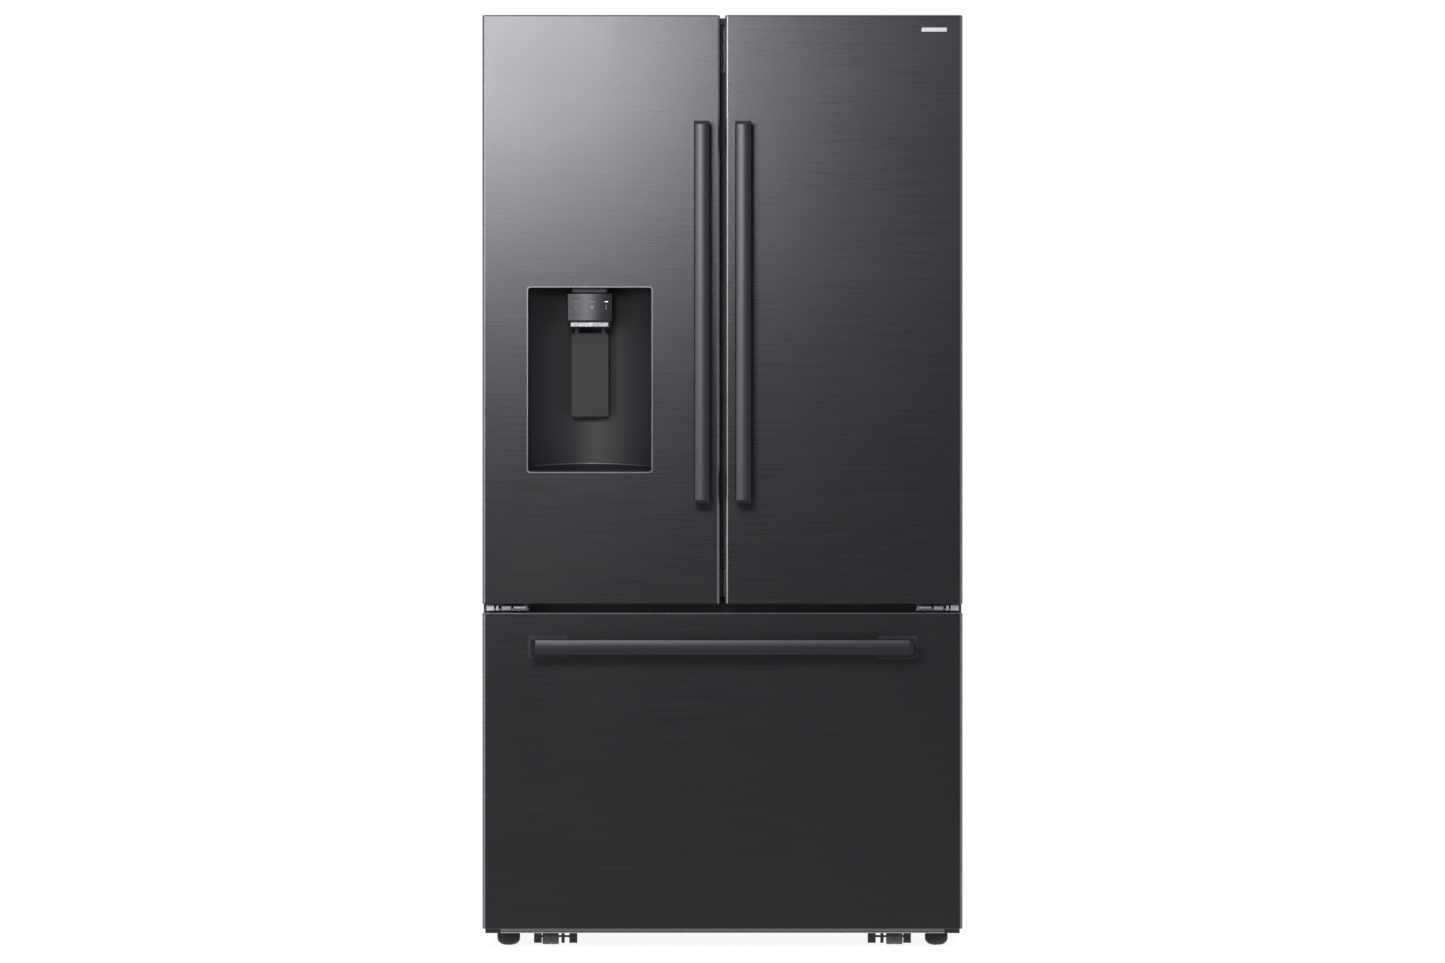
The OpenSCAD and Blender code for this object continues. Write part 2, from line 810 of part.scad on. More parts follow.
// A bin's tub with a ledge on each side that rests on the liner's lugs
module door_bin(z) {
    color("lightcyan") {
        tub(bin_x, bin_y, [z, z + bin_h], 10, bin_t);
        for (x = [[bin_x[0] - 5, bin_x[0] + 1], [bin_x[1] - 1, bin_x[1] + 5]])
            block(x, [y_flange + 6, y_flange + 36], [z + bin_h - 21.7, z + bin_h - 14]);
    }
}

module left_upper_bin() door_bin(left_bin_z[0]);

module left_lower_bin() door_bin(left_bin_z[1]);

module right_upper_bin() mirror([1, 0, 0]) door_bin(right_bin_z[0]);

module right_middle_bin() mirror([1, 0, 0]) door_bin(right_bin_z[1]);

module right_lower_bin() mirror([1, 0, 0]) door_bin(right_bin_z[2]);

// ---------- dispenser ----------

module bowl(x, d, z) {
    translate([0, 0, z[0]]) linear_extrude(z[1] - z[0]) intersection() {
        translate([disp_x, y_front + recess_d - bowl_r]) circle(bowl_r, $fn = 128);
        translate([x[0], y_front - d]) square([x[1] - x[0], recess_d + d + 5]);
    }
}

module dispenser_housing() {
    floor_z = recess_z[0] + 2;
    rise = 13;
    color([0.12, 0.12, 0.13]) {
        difference() {
            union() {
                block(grow(recess_x, house_t), house_y, grow(recess_z, house_t));
                chute(liner_t);
            }
            bowl(recess_x, 2, recess_z);
            chute(0);
        }
        // Floor that slopes up to the back
        intersection() {
            bowl(recess_x, -3, [recess_z[0] - 1, recess_z[0] + 40]);
            translate([recess_x[0] - 1, 0, 0]) rotate([90, 0, 90]) linear_extrude(recess_w + 2)
                polygon([[y_front, recess_z[0] - 2], [y_front, floor_z],
                         [y_front + recess_d + 3, floor_z + rise],
                         [y_front + recess_d + 3, recess_z[0] - 2]]);
        }
        // Ears that carry the paddle's pivot
        for (s = [-1, 1]) translate([disp_x + s * 33, 0, 0]) difference() {
            block([-3, 3], [paddle_axis[0] - 5, y_front + recess_d + 1],
                  [paddle_axis[1] - 7, paddle_axis[1] + 7]);
            rod_x([-4, 4], paddle_axis[0], paddle_axis[1], 2 + pin_gap);
        }
    }
}

module dispenser_head() {
    x = [disp_x - head_w / 2, disp_x + head_w / 2];
    color([0.3, 0.3, 0.32]) difference() {
        union() {
            slab_z(x, [y_front + 8, y_front + 58], head_z, 5);
            block(grow(x, -6), [y_front + 14, y_front + 56], [head_z[1] - 1, recess_z[1]]);
            slab_z(grow(x, -4), [y_front + 11, y_front + 55], [nozzle_z, head_z[0] + 1], 6);
        }
        // Ice chute, and the water spout in front of it
        slab_z(grow(x, -12), spout_y, [nozzle_z - 1, recess_z[1] + 1], 6);
        rod_z(disp_x, y_front + 20, [nozzle_z - 1, head_z[0] + 20], 3);
    }
}

module dispenser_paddle() {
    color([0.25, 0.25, 0.27]) {
        slab_y([disp_x - paddle_w / 2, disp_x + paddle_w / 2], paddle_y, paddle_z, 5);
        for (s = [-1, 1]) translate([disp_x + s * 25, 0, 0]) {
            block([-3, 3], [paddle_y[0], paddle_y[1]], [paddle_z[1] - 1, paddle_axis[1] + 4]);
            block([-3, 3], [paddle_y[1] - 1, paddle_axis[0] + 4],
                  [paddle_axis[1] - 4, paddle_axis[1] + 4]);
        }
        rod_x([disp_x - 37, disp_x + 37], paddle_axis[0], paddle_axis[1], 2);
    }
}

module flip_mullion() {
    color([0.15, 0.15, 0.16]) {
        block(mullion_x, mullion_y, mullion_z);
        for (z = [[mullion_z[0] - 9, mullion_z[0] + 1], [mullion_z[1] - 1, mullion_z[1] + 9]])
            rod_z(fold_axis[0], fold_axis[1], z, 3);
        // Guide pin on top, near the far edge
        rod_z(fold_axis[0], mullion_y[1] - 6, [mullion_z[1] - 1, mullion_z[1] + 12], 4);
    }
}

// ---------- freezer drawer ----------

module drawer_skin() {
    x = [-half_w, half_w];
    z = [drawer_z0, drawer_z1];
    color([0.18, 0.18, 0.19]) difference() {
        slab_z(x, [y_front, y_flange + 20], z, corner_r);
        slab_z(grow(x, -sheet), [y_front + sheet, y_flange + 40], grow(z, 1), corner_r - sheet);
        block(grow(x, 1), [y_flange, y_flange + 50], grow(z, 1));
        for (s = [-1, 1]) translate([s * 330, 0, 0]) handle_holes([567]);
    }
}

drawer_fill_z = [drawer_z0 + 1 + cap_t, drawer_z1 - 1 - cap_t];
drawer_in_x = [-half_w + sheet + clear, half_w - sheet - clear];

module drawer_caps() {
    y = [y_front + sheet + clear, y_flange];
    color([0.12, 0.12, 0.13]) {
        slab_z(drawer_in_x, y, [drawer_z0 + 1, drawer_fill_z[0]], corner_r - sheet);
        slab_z(drawer_in_x, y, [drawer_fill_z[1], drawer_z1 - 1], corner_r - sheet);
    }
}

front_well_x = grow(front_dyke_x, -34);
front_well_z = grow(front_dyke_z, -34);

module drawer_insulation() {
    color("khaki") difference() {
        union() {
            slab_z(drawer_in_x, [y_front + sheet + clear, y_flange - liner_t], drawer_fill_z,
                   corner_r - sheet);
            slab_y(grow(front_dyke_x, -liner_t), [y_flange - 3, y_flange + front_dyke_d - liner_t],
                   grow(front_dyke_z, -liner_t), dyke_r - liner_t);
        }
        slab_y(grow(front_well_x, liner_t), [y_flange - liner_t, y_flange + front_dyke_d + 1],
               grow(front_well_z, liner_t), 10);
    }
}

module drawer_liner() {
    color("whitesmoke") difference() {
        union() {
            block(drawer_in_x, [y_flange - liner_t, y_flange], drawer_fill_z);
            slab_y(front_dyke_x, [y_flange - 1, y_flange + front_dyke_d], front_dyke_z, dyke_r);
        }
        difference() {
            slab_y(grow(front_dyke_x, -liner_t), [y_flange - 3, y_flange + front_dyke_d - liner_t],
                   grow(front_dyke_z, -liner_t), dyke_r - liner_t);
            slab_y(grow(front_well_x, liner_t), [y_flange - 4, y_flange + front_dyke_d + 1],
                   grow(front_well_z, liner_t), 10);
        }
        slab_y(front_well_x, [y_flange, y_flange + front_dyke_d + 1], front_well_z, 8);
    }
}

module drawer_gasket() color("gray") seal(front_seal_x, front_seal_z);

module drawer_handle() {
    y0 = -body_d / 2;
    crown = 3;
    w = bar_w / 2;
    r = (w * w + crown * crown) / (2 * crown);
    mid_z = 567;
    half = 361;
    color([0.2, 0.2, 0.21]) {
        translate([-half, 0, mid_z]) rotate([90, 0, 90]) linear_extrude(2 * half) intersection() {
            translate([y0 + r, 0]) circle(r, $fn = 128);
            translate([y0 - 1, -w]) square([23, bar_w]);
        }
        both_sides() slab_y([-half - 1, -half + 69], [y0 + 21, y_front], [mid_z - 17, mid_z + 17], 3);
    }
}

module freezer_rails() {
    color("silver") both_sides() difference() {
        block([-cavity_half, -cavity_half + 10], rail_y, rail_z);
        block([-cavity_half + 2, -cavity_half + 11], grow(rail_y, 1), grow(rail_z, -3));
    }
}

module middle_rails() {
    x = [-cavity_half + 3, -cavity_half + 14];
    color("silver") both_sides() difference() {
        block(x, [rail_y[0] + 10, rail_y[1] - 5], grow(rail_z, -4));
        block([x[0] + 3, x[1] + 1], grow(rail_y, 1), grow(rail_z, -8));
    }
}

module drawer_rails() {
    x = [-cavity_half + 7, -cavity_half + 16];
    y0 = y_flange + front_dyke_d;
    color("silver") both_sides() {
        block(x, [y0, rail_y[1] - 10], grow(rail_z, -9));
        // Bracket on the drawer front, and the shelf that carries the basket
        block([-cavity_half + 11, -cavity_half + 60], [y0, y0 + 3], [rail_z[0] - 2, rail_z[1] + 60]);
        block([x[1] - 1, -cavity_half + 60], [y0, rail_y[1] - 10], [rail_z[0] + 7, basket_z[0]]);
    }
}

module freezer_basket() {
    color("lightcyan") {
        tub(basket_x, basket_y, basket_z, 14, 3);
        block([-1.5, 1.5], grow(basket_y, -2.5), [basket_z[0] + 2, basket_z[1] - 30]);
    }
}

module freezer_tray() {
    color("lightcyan") {
        tub(grow(tray_x, -14), tray_y, tray_z, 12, 3);
        for (s = [-1, 1]) translate([s * (tray_x[1] - 7), 0, 0])
            block([-8, 7], [tray_y[0] + 6, tray_y[1] - 6], [tray_z[0] + 68.5, tray_z[0] + 76]);
    }
}

// ---------- fasteners ----------

module screw(d, h) {
    cylinder(r = d / 2, h = h);
}

module cabinet_screws() {
    color("gray") {
        both_sides() {
            for (y = [y_case + 20, y_case + 70]) for (x = [hinge_x + 8, hinge_x + 36])
                translate([x, y, arm_z[1]]) screw(9, 3);
            for (x = [hinge_x + 22, hinge_x + 66])
                translate([x, y_case - 3, 646.5]) rotate([90, 0, 0]) screw(8, 2.5);
        }
        for (x = [-440 : 176 : 440]) for (z = [machine_z + 8, case_z1 - 8])
            translate([x, case_back + 1, z]) rotate([-90, 0, 0]) screw(9, 2.5);
        for (z = [500, 900, 1300]) for (s = [-1, 1])
            translate([s * 446, case_back + 1, z]) rotate([-90, 0, 0]) screw(9, 2.5);
    }
}

cabinet_shell();
back_panel();
cabinet_insulation();
fridge_liner();
freezer_liner();
center_rail();
top_cover();
top_hinges();
middle_hinges();
base_frame();
base_trim();
compressor();
condenser();
machine_cover();
evaporator();
duct_covers();
shelf_frames();
shelf_glass();
ice_maker();
freezer_rails();
cabinet_screws();
utility_inlets();
left_door_skin();
left_door_caps();
left_door_liner();
left_door_insulation();
left_door_gasket();
left_handle();
dispenser_housing();
dispenser_head();
dispenser_paddle();
flip_mullion();
left_upper_bin();
left_lower_bin();
right_door_skin();
right_door_caps();
right_door_liner();
right_door_insulation();
right_door_gasket();
right_handle();
right_upper_bin();
right_middle_bin();
right_lower_bin();
drawer_skin();
drawer_caps();
drawer_liner();
drawer_insulation();
drawer_gasket();
drawer_handle();
drawer_rails();
middle_rails();
freezer_basket();
freezer_tray();
left_crisper();
right_crisper();
front_rollers();
rear_rollers();
left_leg();
right_leg();
condenser_fan();
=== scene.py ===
"""French door refrigerator: the shown pieces, their finishes and a plain studio around them.

Shapes are built in millimetres and scaled to metres when a piece is finished.
"""
import math

import bmesh
import bpy
from mathutils import Matrix, Vector


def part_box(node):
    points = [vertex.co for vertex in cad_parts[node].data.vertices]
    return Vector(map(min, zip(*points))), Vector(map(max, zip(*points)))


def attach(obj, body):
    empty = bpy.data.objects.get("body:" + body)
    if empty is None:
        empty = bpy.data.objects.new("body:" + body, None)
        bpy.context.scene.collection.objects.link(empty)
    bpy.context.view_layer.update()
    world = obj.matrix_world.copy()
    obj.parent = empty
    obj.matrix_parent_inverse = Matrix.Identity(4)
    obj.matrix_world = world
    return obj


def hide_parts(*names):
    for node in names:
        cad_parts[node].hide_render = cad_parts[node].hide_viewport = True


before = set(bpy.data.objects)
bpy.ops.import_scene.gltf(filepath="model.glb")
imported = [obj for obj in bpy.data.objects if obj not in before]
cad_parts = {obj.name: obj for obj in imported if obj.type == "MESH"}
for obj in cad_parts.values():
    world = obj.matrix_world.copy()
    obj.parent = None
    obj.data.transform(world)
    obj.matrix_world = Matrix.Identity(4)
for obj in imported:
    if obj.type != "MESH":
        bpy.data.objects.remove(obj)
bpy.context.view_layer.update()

bl_info = {
    "name": "French Door Refrigerator",
    "version": (1, 0, 0),
    "blender": (4, 5, 0),
    "location": "View3D > Sidebar > Refrigerator",
    "description": "Builds the fronts, handles, dispenser, insides and finishes of a french door refrigerator",
    "category": "Object",
}

MM = 0.001
FINISHES = {}


def span(node):
    """The x, y and z reach of a node at rest, in millimetres."""
    low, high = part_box(node)
    return [(low[i] / MM, high[i] / MM) for i in range(3)]


def grow(reach, by):
    return (reach[0] - by, reach[1] + by)


def middle(reach):
    return (reach[0] + reach[1]) / 2


LEFT_DOOR = span("left_door_skin")
DRAWER = span("drawer_skin")
RECESS = [grow(r, -3) for r in span("dispenser_housing")]
RECESS[2] = (898.0, 1247.0)
FRONT_Y = LEFT_DOOR[1][0]
FLANGE_Y = LEFT_DOOR[1][1]
CASE = span("cabinet_shell")
HEM_DEPTH = 12.0
HEAD_CROWN = 6.0
HINGE_POCKET_Z = 1742.0
HINGE_POCKET_X = 76.0
BADGE_X, BADGE_Z = (376.5, 424.5), (1730.5, 1738.5)


# ---------- shapes, in millimetres ----------

def block(x, y, z, soft=0.0, steps=2):
    """A box between two corners whose edges are rounded by soft."""
    shape = bmesh.new()
    bmesh.ops.create_cube(shape, size=1.0)
    size = (x[1] - x[0], y[1] - y[0], z[1] - z[0])
    bmesh.ops.scale(shape, vec=size, verts=shape.verts)
    bmesh.ops.translate(shape, vec=(middle(x), middle(y), middle(z)), verts=shape.verts)
    if soft:
        round_edges(shape, shape.edges[:], soft, steps)
    return shape


def round_edges(shape, edges, width, steps=3):
    bmesh.ops.bevel(shape, geom=edges, offset=width, offset_type="OFFSET", segments=steps,
                    profile=0.5, affect="EDGES", clamp_overlap=True, material=-1)


def soften(shape, width, steps=2, angle=0.5):
    """Round every edge that is sharper than angle."""
    sharp = [e for e in shape.edges if e.is_manifold and e.calc_face_angle() > angle]
    if sharp:
        round_edges(shape, sharp, width, steps)


def turn_to(shape, axis):
    """Turn a shape drawn upright, u and v across and w up, so that w runs along the axis."""
    turns = {
        "z": Matrix.Identity(4),
        "x": Matrix(((0, 0, 1, 0), (1, 0, 0, 0), (0, 1, 0, 0), (0, 0, 0, 1))),
        "y": Matrix(((1, 0, 0, 0), (0, 0, 1, 0), (0, 1, 0, 0), (0, 0, 0, 1))),
    }
    bmesh.ops.transform(shape, matrix=turns[axis], verts=shape.verts)
    bmesh.ops.recalc_face_normals(shape, faces=shape.faces[:])


def outline(u, v, radius, steps=6):
    """One face with rounded corners, lying flat."""
    shape = bmesh.new()
    bmesh.ops.create_grid(shape, x_segments=1, y_segments=1, size=0.5)
    bmesh.ops.scale(shape, vec=(u[1] - u[0], v[1] - v[0], 1), verts=shape.verts)
    bmesh.ops.translate(shape, vec=(middle(u), middle(v), 0), verts=shape.verts)
    if radius:
        bmesh.ops.bevel(shape, geom=shape.verts[:], offset=radius, offset_type="OFFSET",
                        segments=steps, profile=0.5, affect="VERTICES", material=-1)
    return shape


def slab(axis, x, y, z, radius=0.0, soft=0.0, steps=6):
    """A block with corners of radius seen along the axis, and edges rounded by soft."""
    u, v, w = {"x": (y, z, x), "y": (x, z, y), "z": (x, y, z)}[axis]
    shape = outline(u, v, radius, steps)
    extrude_up(shape, w)
    turn_to(shape, axis)
    if soft:
        soften(shape, soft, 2, 0.9)
    return shape


def extrude_up(shape, w):
    """Give a flat shape its thickness from w[0] to w[1]."""
    bmesh.ops.translate(shape, vec=(0, 0, w[0]), verts=shape.verts)
    made = bmesh.ops.extrude_face_region(shape, geom=shape.faces[:], use_keep_orig=True)
    top = [g for g in made["geom"] if isinstance(g, bmesh.types.BMVert)]
    bmesh.ops.translate(shape, vec=(0, 0, w[1] - w[0]), verts=top)
    bmesh.ops.recalc_face_normals(shape, faces=shape.faces[:])


def cut_plate(outer, holes):
    """A flat face with holes; every entry is (u, v, radius)."""
    shape = bmesh.new()
    for u, v, radius in [outer] + holes:
        absorb(shape, outline(u, v, radius))
    bmesh.ops.delete(shape, geom=shape.faces[:], context="FACES_ONLY")
    bmesh.ops.triangle_fill(shape, edges=shape.edges[:], use_beauty=True)
    return shape


def plate(axis, outer, holes, w, soft=0.0):
    """A flat plate with rounded holes, w thick along the axis."""
    shape = cut_plate(outer, holes)
    extrude_up(shape, w)
    turn_to(shape, axis)
    if soft:
        soften(shape, soft, 1, 0.9)
    return shape


def absorb(shape, other, places=None):
    """Move another shape's mesh into this one; places says which slot each of its finishes goes to."""
    if places is not None:
        for face in other.faces:
            face.material_index = places[min(face.material_index, len(places) - 1)]
    mesh = bpy.data.meshes.new("part")
    other.to_mesh(mesh)
    other.free()
    shape.from_mesh(mesh)
    bpy.data.meshes.remove(mesh)
    return shape


def ring_at(shape, u, v, w, radius, steps=6):
    """Add the edges of one rounded ring at height w, and say how many edges there are then."""
    ring = outline(u, v, radius, steps)
    bmesh.ops.translate(ring, vec=(0, 0, w), verts=ring.verts)
    bmesh.ops.delete(ring, geom=ring.faces[:], context="FACES_ONLY")
    absorb(shape, ring)
    return len(shape.edges)


def loft(axis, rings, first=False, last=True, steps=6):
    """Skin over rounded rings, each (u, v, w, radius); first and last say which ends are closed."""
    shape = bmesh.new()
    ends = [0] + [ring_at(shape, u, v, w, radius, steps) for u, v, w, radius in rings]
    shape.edges.ensure_lookup_table()
    loops = [shape.edges[i:j] for i, j in zip(ends, ends[1:])]
    for a, b in zip(loops, loops[1:]):
        bmesh.ops.bridge_loops(shape, edges=list(a) + list(b))
    for wanted, loop in ((first, loops[0]), (last, loops[-1])):
        if wanted:
            bmesh.ops.edgeloop_fill(shape, edges=list(loop))
    turn_to(shape, axis)
    return shape


def lathe(axis, points, centre, steps=32):
    """Spin a profile of (radius, height) pairs round an axis through centre."""
    shape = bmesh.new()
    dots = [shape.verts.new((r, 0, h)) for r, h in points]
    lines = [shape.edges.new(pair) for pair in zip(dots, dots[1:])]
    bmesh.ops.spin(shape, geom=dots + lines, cent=(0, 0, 0), axis=(0, 0, 1), angle=math.tau,
                   steps=steps, use_merge=True)
    bmesh.ops.remove_doubles(shape, verts=shape.verts, dist=0.001)
    turn_to(shape, axis)
    bmesh.ops.translate(shape, vec=centre, verts=shape.verts)
    bmesh.ops.recalc_face_normals(shape, faces=shape.faces[:])
    return shape


def rod(axis, centre, radius, length, soft=0.0, steps=24):
    """A round bar that starts at centre and runs along the axis."""
    edge = min(soft, radius / 2)
    points = [(0, 0), (radius - edge, 0), (radius, edge), (radius, length - edge),
              (radius - edge, length), (0, length)]
    if not edge:
        points = [(0, 0), (radius, 0), (radius, length), (0, length)]
    return lathe(axis, points, centre, steps)


def mirrored(shape, wanted=True):
    """The other hand of a shape, across the refrigerator's middle plane."""
    if wanted:
        bmesh.ops.scale(shape, vec=(-1, 1, 1), verts=shape.verts)
        bmesh.ops.recalc_face_normals(shape, faces=shape.faces[:])
    return shape


def softened(node, width=0.6, steps=1):
    """A merged copy of a node with its sharp edges rounded."""
    shape = bmesh.new()
    shape.from_mesh(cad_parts[node].data)
    bmesh.ops.scale(shape, vec=(1 / MM,) * 3, verts=shape.verts)
    bmesh.ops.remove_doubles(shape, verts=shape.verts, dist=0.01)
    bmesh.ops.dissolve_limit(shape, angle_limit=0.02, verts=shape.verts[:], edges=shape.edges[:])
    if width:
        soften(shape, width, steps)
    return shape


# ---------- finishing a piece ----------

SHARP = 0.6
FLAT_SHARE = 5.0
# How much brighter the folds' finish is than the door steel: a painted highlight.
FOLD_HIGHLIGHT_SHARE = 5.4
# How much darker the level handle's steel is than the upright handles': painted shade.
LEVEL_SHADE_SHARE = 0.7


def mark_sharp(shape):
    """Keep flat faces flat beside their rounded edges, and blend only gentle curves."""
    for face in shape.faces:
        face.smooth = True
    for edge in shape.edges:
        if len(edge.link_faces) != 2:
            continue
        angle = edge.calc_face_angle(0.0)
        areas = sorted(face.calc_area() for face in edge.link_faces)
        uneven = areas[1] > FLAT_SHARE * max(areas[0], 1e-6)
        edge.smooth = not (angle > SHARP or (uneven and angle > 0.02))


def piece(name, parts, body, replaced=()):
    """Join parts, each (shape, finish or finishes), into one object that rides on a body."""
    whole = bmesh.new()
    finishes = []
    for shape, kinds in parts:
        kinds = (kinds,) if isinstance(kinds, str) else kinds
        finishes += [kind for kind in kinds if kind not in finishes]
        absorb(whole, shape, [finishes.index(kind) for kind in kinds])
    mark_sharp(whole)
    bmesh.ops.scale(whole, vec=(MM,) * 3, verts=whole.verts)
    mesh = bpy.data.meshes.new(name)
    for finish in finishes:
        mesh.materials.append(FINISHES[finish])
    whole.to_mesh(mesh)
    whole.free()
    thing = bpy.data.objects.new(name, mesh)
    bpy.context.scene.collection.objects.link(thing)
    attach(thing, body)
    if replaced:
        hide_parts(*replaced)
    return thing


# ---------- pieces shown as softened copies of their nodes ----------

COPIES = {
    "hinges": {
        "top_hinges": ("top_hinge_pair", "plated_steel", "cabinet", "hinge_steel", 0.5),
    },
    "hinge_cover": {
        "top_cover": ("hinge_top_cover", "black_plastic", "cabinet", "dark_plastic", 0.8),
    },
    "base": {
        "base_frame": ("base_cross_frame", "frame_steel", "cabinet", "frame_steel", 0.5),
    },
    "cabinet": {
        "cabinet_screws": ("cabinet_screw_set", "plated_steel", "cabinet", "hinge_steel", 0.3),
        "machine_cover": ("machine_room_cover", "galvanised_steel", "cabinet", "galvanised", 0),
        "utility_inlets": ("water_and_mains_inlets", "black_plastic", "cabinet", "dark_plastic", 0.3),
        "center_rail": ("centre_rail_cover", "cabinet_paint", "cabinet", "rail_paint", 0.4),
    },
    "insides": {
        "cabinet_insulation": ("cabinet_foam", "foam_cream", "cabinet", "foam", 0),
        "fridge_liner": ("fridge_room_liner", "liner_white", "cabinet", "liner_white", 0),
        "freezer_liner": ("freezer_room_liner", "liner_white", "cabinet", "liner_white", 0),
        "duct_covers": ("air_duct_covers", "white_plastic", "cabinet", "white_plastic", 1.2),
        "ice_maker": ("ice_making_unit", "white_plastic", "cabinet", "white_plastic", 0),
        "shelf_frames": ("shelf_frame_set", "shelf_trim", "cabinet", "shelf_trim", 0.6),
        "shelf_glass": ("shelf_glass_set", "shelf_glass", "cabinet", "shelf_glass", 0),
        "evaporator": ("evaporator_coil", "coil_aluminium", "cabinet", "coil_aluminium", 0),
        "compressor": ("compressor_pot", "compressor_black", "cabinet", "compressor_black", 0),
        "condenser": ("condenser_coil", "coil_black", "cabinet", "coil_black", 0),
        "condenser_fan": ("condenser_fan_wheel", "coil_black", "fan", "wheel_black", 0.3),
        "left_door_liner": ("left_door_inner_liner", "liner_white", "left_door", "liner_white", 0),
        "right_door_liner": ("right_door_inner_liner", "liner_white", "right_door", "liner_white", 0),
        "drawer_liner": ("drawer_inner_liner", "liner_white", "freezer_drawer", "liner_white", 0),
        "left_door_insulation": ("left_door_foam", "foam_cream", "left_door", "foam", 0),
        "right_door_insulation": ("right_door_foam", "foam_cream", "right_door", "foam", 0),
        "drawer_insulation": ("drawer_foam", "foam_cream", "freezer_drawer", "foam", 0),
        "freezer_rails": ("fixed_slide_rails", "plated_steel", "cabinet", "rail_steel", 0.3),
        "middle_rails": ("middle_slide_rails", "plated_steel", "slide_rails", "rail_steel", 0.3),
        "drawer_rails": ("drawer_slide_rails", "plated_steel", "freezer_drawer", "rail_steel", 0.3),
        "flip_mullion": ("folding_mullion", "seal_grey", "mullion", "mullion_dark", 1.5),
    },
    "bins": {
        "left_upper_bin": ("left_upper_bin_tray", "clear_plastic", "left_upper_bin_body", "clear_plastic", 0.8),
        "left_lower_bin": ("left_lower_bin_tray", "clear_plastic", "left_lower_bin_body", "clear_plastic", 0.8),
        "right_upper_bin": (
            "right_upper_bin_tray", "clear_plastic", "right_upper_bin_body", "clear_plastic", 0.8,
        ),
        "right_middle_bin": (
            "right_middle_bin_tray", "clear_plastic", "right_middle_bin_body", "clear_plastic", 0.8,
        ),
        "right_lower_bin": (
            "right_lower_bin_tray", "clear_plastic", "right_lower_bin_body", "clear_plastic", 0.8,
        ),
        "left_crisper": ("left_crisper_box", "clear_plastic", "left_crisper_drawer", "clear_plastic", 0.8),
        "right_crisper": ("right_crisper_box", "clear_plastic", "right_crisper_drawer", "clear_plastic", 0.8),
        "freezer_basket": ("freezer_basket_box", "clear_plastic", "freezer_drawer", "clear_plastic", 0.8),
        "freezer_tray": ("freezer_upper_tray", "clear_plastic", "upper_tray", "clear_plastic", 0.8),
    },
    "left_caps": {
        "left_door_caps": ("left_door_end_caps", "black_plastic", "left_door", "dark_plastic", 0.8),
    },
    "right_caps": {
        "right_door_caps": ("right_door_end_caps", "black_plastic", "right_door", "dark_plastic", 0.8),
    },
    "drawer_caps": {
        "drawer_caps": ("drawer_end_caps", "black_plastic", "freezer_drawer", "dark_plastic", 0.8),
    },
}


def copy_nodes(group):
    """Show softened copies of a group's nodes; width, in the table's last place, rounds their edges."""
    for node, (name, kind, body, slot, width) in COPIES[group].items():
        piece(name, [(softened(node, width), kind)], body, [node])


# ---------- finishes ----------

def finish(name, colour, metallic=0.0, roughness=0.5, grain=(300, 300, 300), tone=0.06, spread=0.05,
           bump=0.1, depth=0.0001, detail=3.0, stain=0.04, extra=None):
    """A procedural finish: grain is its pattern's cycles per metre along x, y and z, tone and
    spread vary its colour and roughness, and stain adds a slow smudging of the gloss."""
    made = bpy.data.materials.new(name)
    made.use_nodes = True
    nodes, links = made.node_tree.nodes, made.node_tree.links
    shader = nodes["Principled BSDF"]
    place = nodes.new("ShaderNodeTexCoord")
    scaled = nodes.new("ShaderNodeMapping")
    scaled.inputs["Scale"].default_value = grain
    fine = nodes.new("ShaderNodeTexNoise")
    fine.inputs["Scale"].default_value = 1.0
    fine.inputs["Detail"].default_value = detail
    slow = nodes.new("ShaderNodeTexNoise")
    slow.inputs["Scale"].default_value = 5.0
    slow.inputs["Detail"].default_value = 2.0
    ramp = nodes.new("ShaderNodeValToRGB")
    ramp.color_ramp.elements[0].position = 0.25
    ramp.color_ramp.elements[1].position = 0.75
    for stop, share in zip(ramp.color_ramp.elements, (1 - tone, 1 + tone)):
        stop.color = (*[min(1.0, c * share) for c in colour], 1.0)
    gloss = nodes.new("ShaderNodeMapRange")
    gloss.inputs["To Min"].default_value = max(0.02, roughness - spread)
    gloss.inputs["To Max"].default_value = min(1.0, roughness + spread)
    smudge = nodes.new("ShaderNodeMath")
    smudge.operation = "MULTIPLY_ADD"
    smudge.inputs[1].default_value = stain
    relief = nodes.new("ShaderNodeBump")
    relief.inputs["Strength"].default_value = bump
    relief.inputs["Distance"].default_value = depth
    links.new(place.outputs["Object"], scaled.inputs["Vector"])
    links.new(scaled.outputs["Vector"], fine.inputs["Vector"])
    links.new(place.outputs["Object"], slow.inputs["Vector"])
    links.new(fine.outputs["Fac"], ramp.inputs["Fac"])
    links.new(fine.outputs["Fac"], gloss.inputs["Value"])
    links.new(slow.outputs["Fac"], smudge.inputs[0])
    links.new(gloss.outputs["Result"], smudge.inputs[2])
    links.new(fine.outputs["Fac"], relief.inputs["Height"])
    links.new(ramp.outputs["Color"], shader.inputs["Base Color"])
    links.new(smudge.outputs["Value"], shader.inputs["Roughness"])
    links.new(relief.outputs["Normal"], shader.inputs["Normal"])
    shader.inputs["Metallic"].default_value = metallic
    for socket, value in (extra or {}).items():
        shader.inputs[socket].default_value = value
    FINISHES[name] = made
    return made


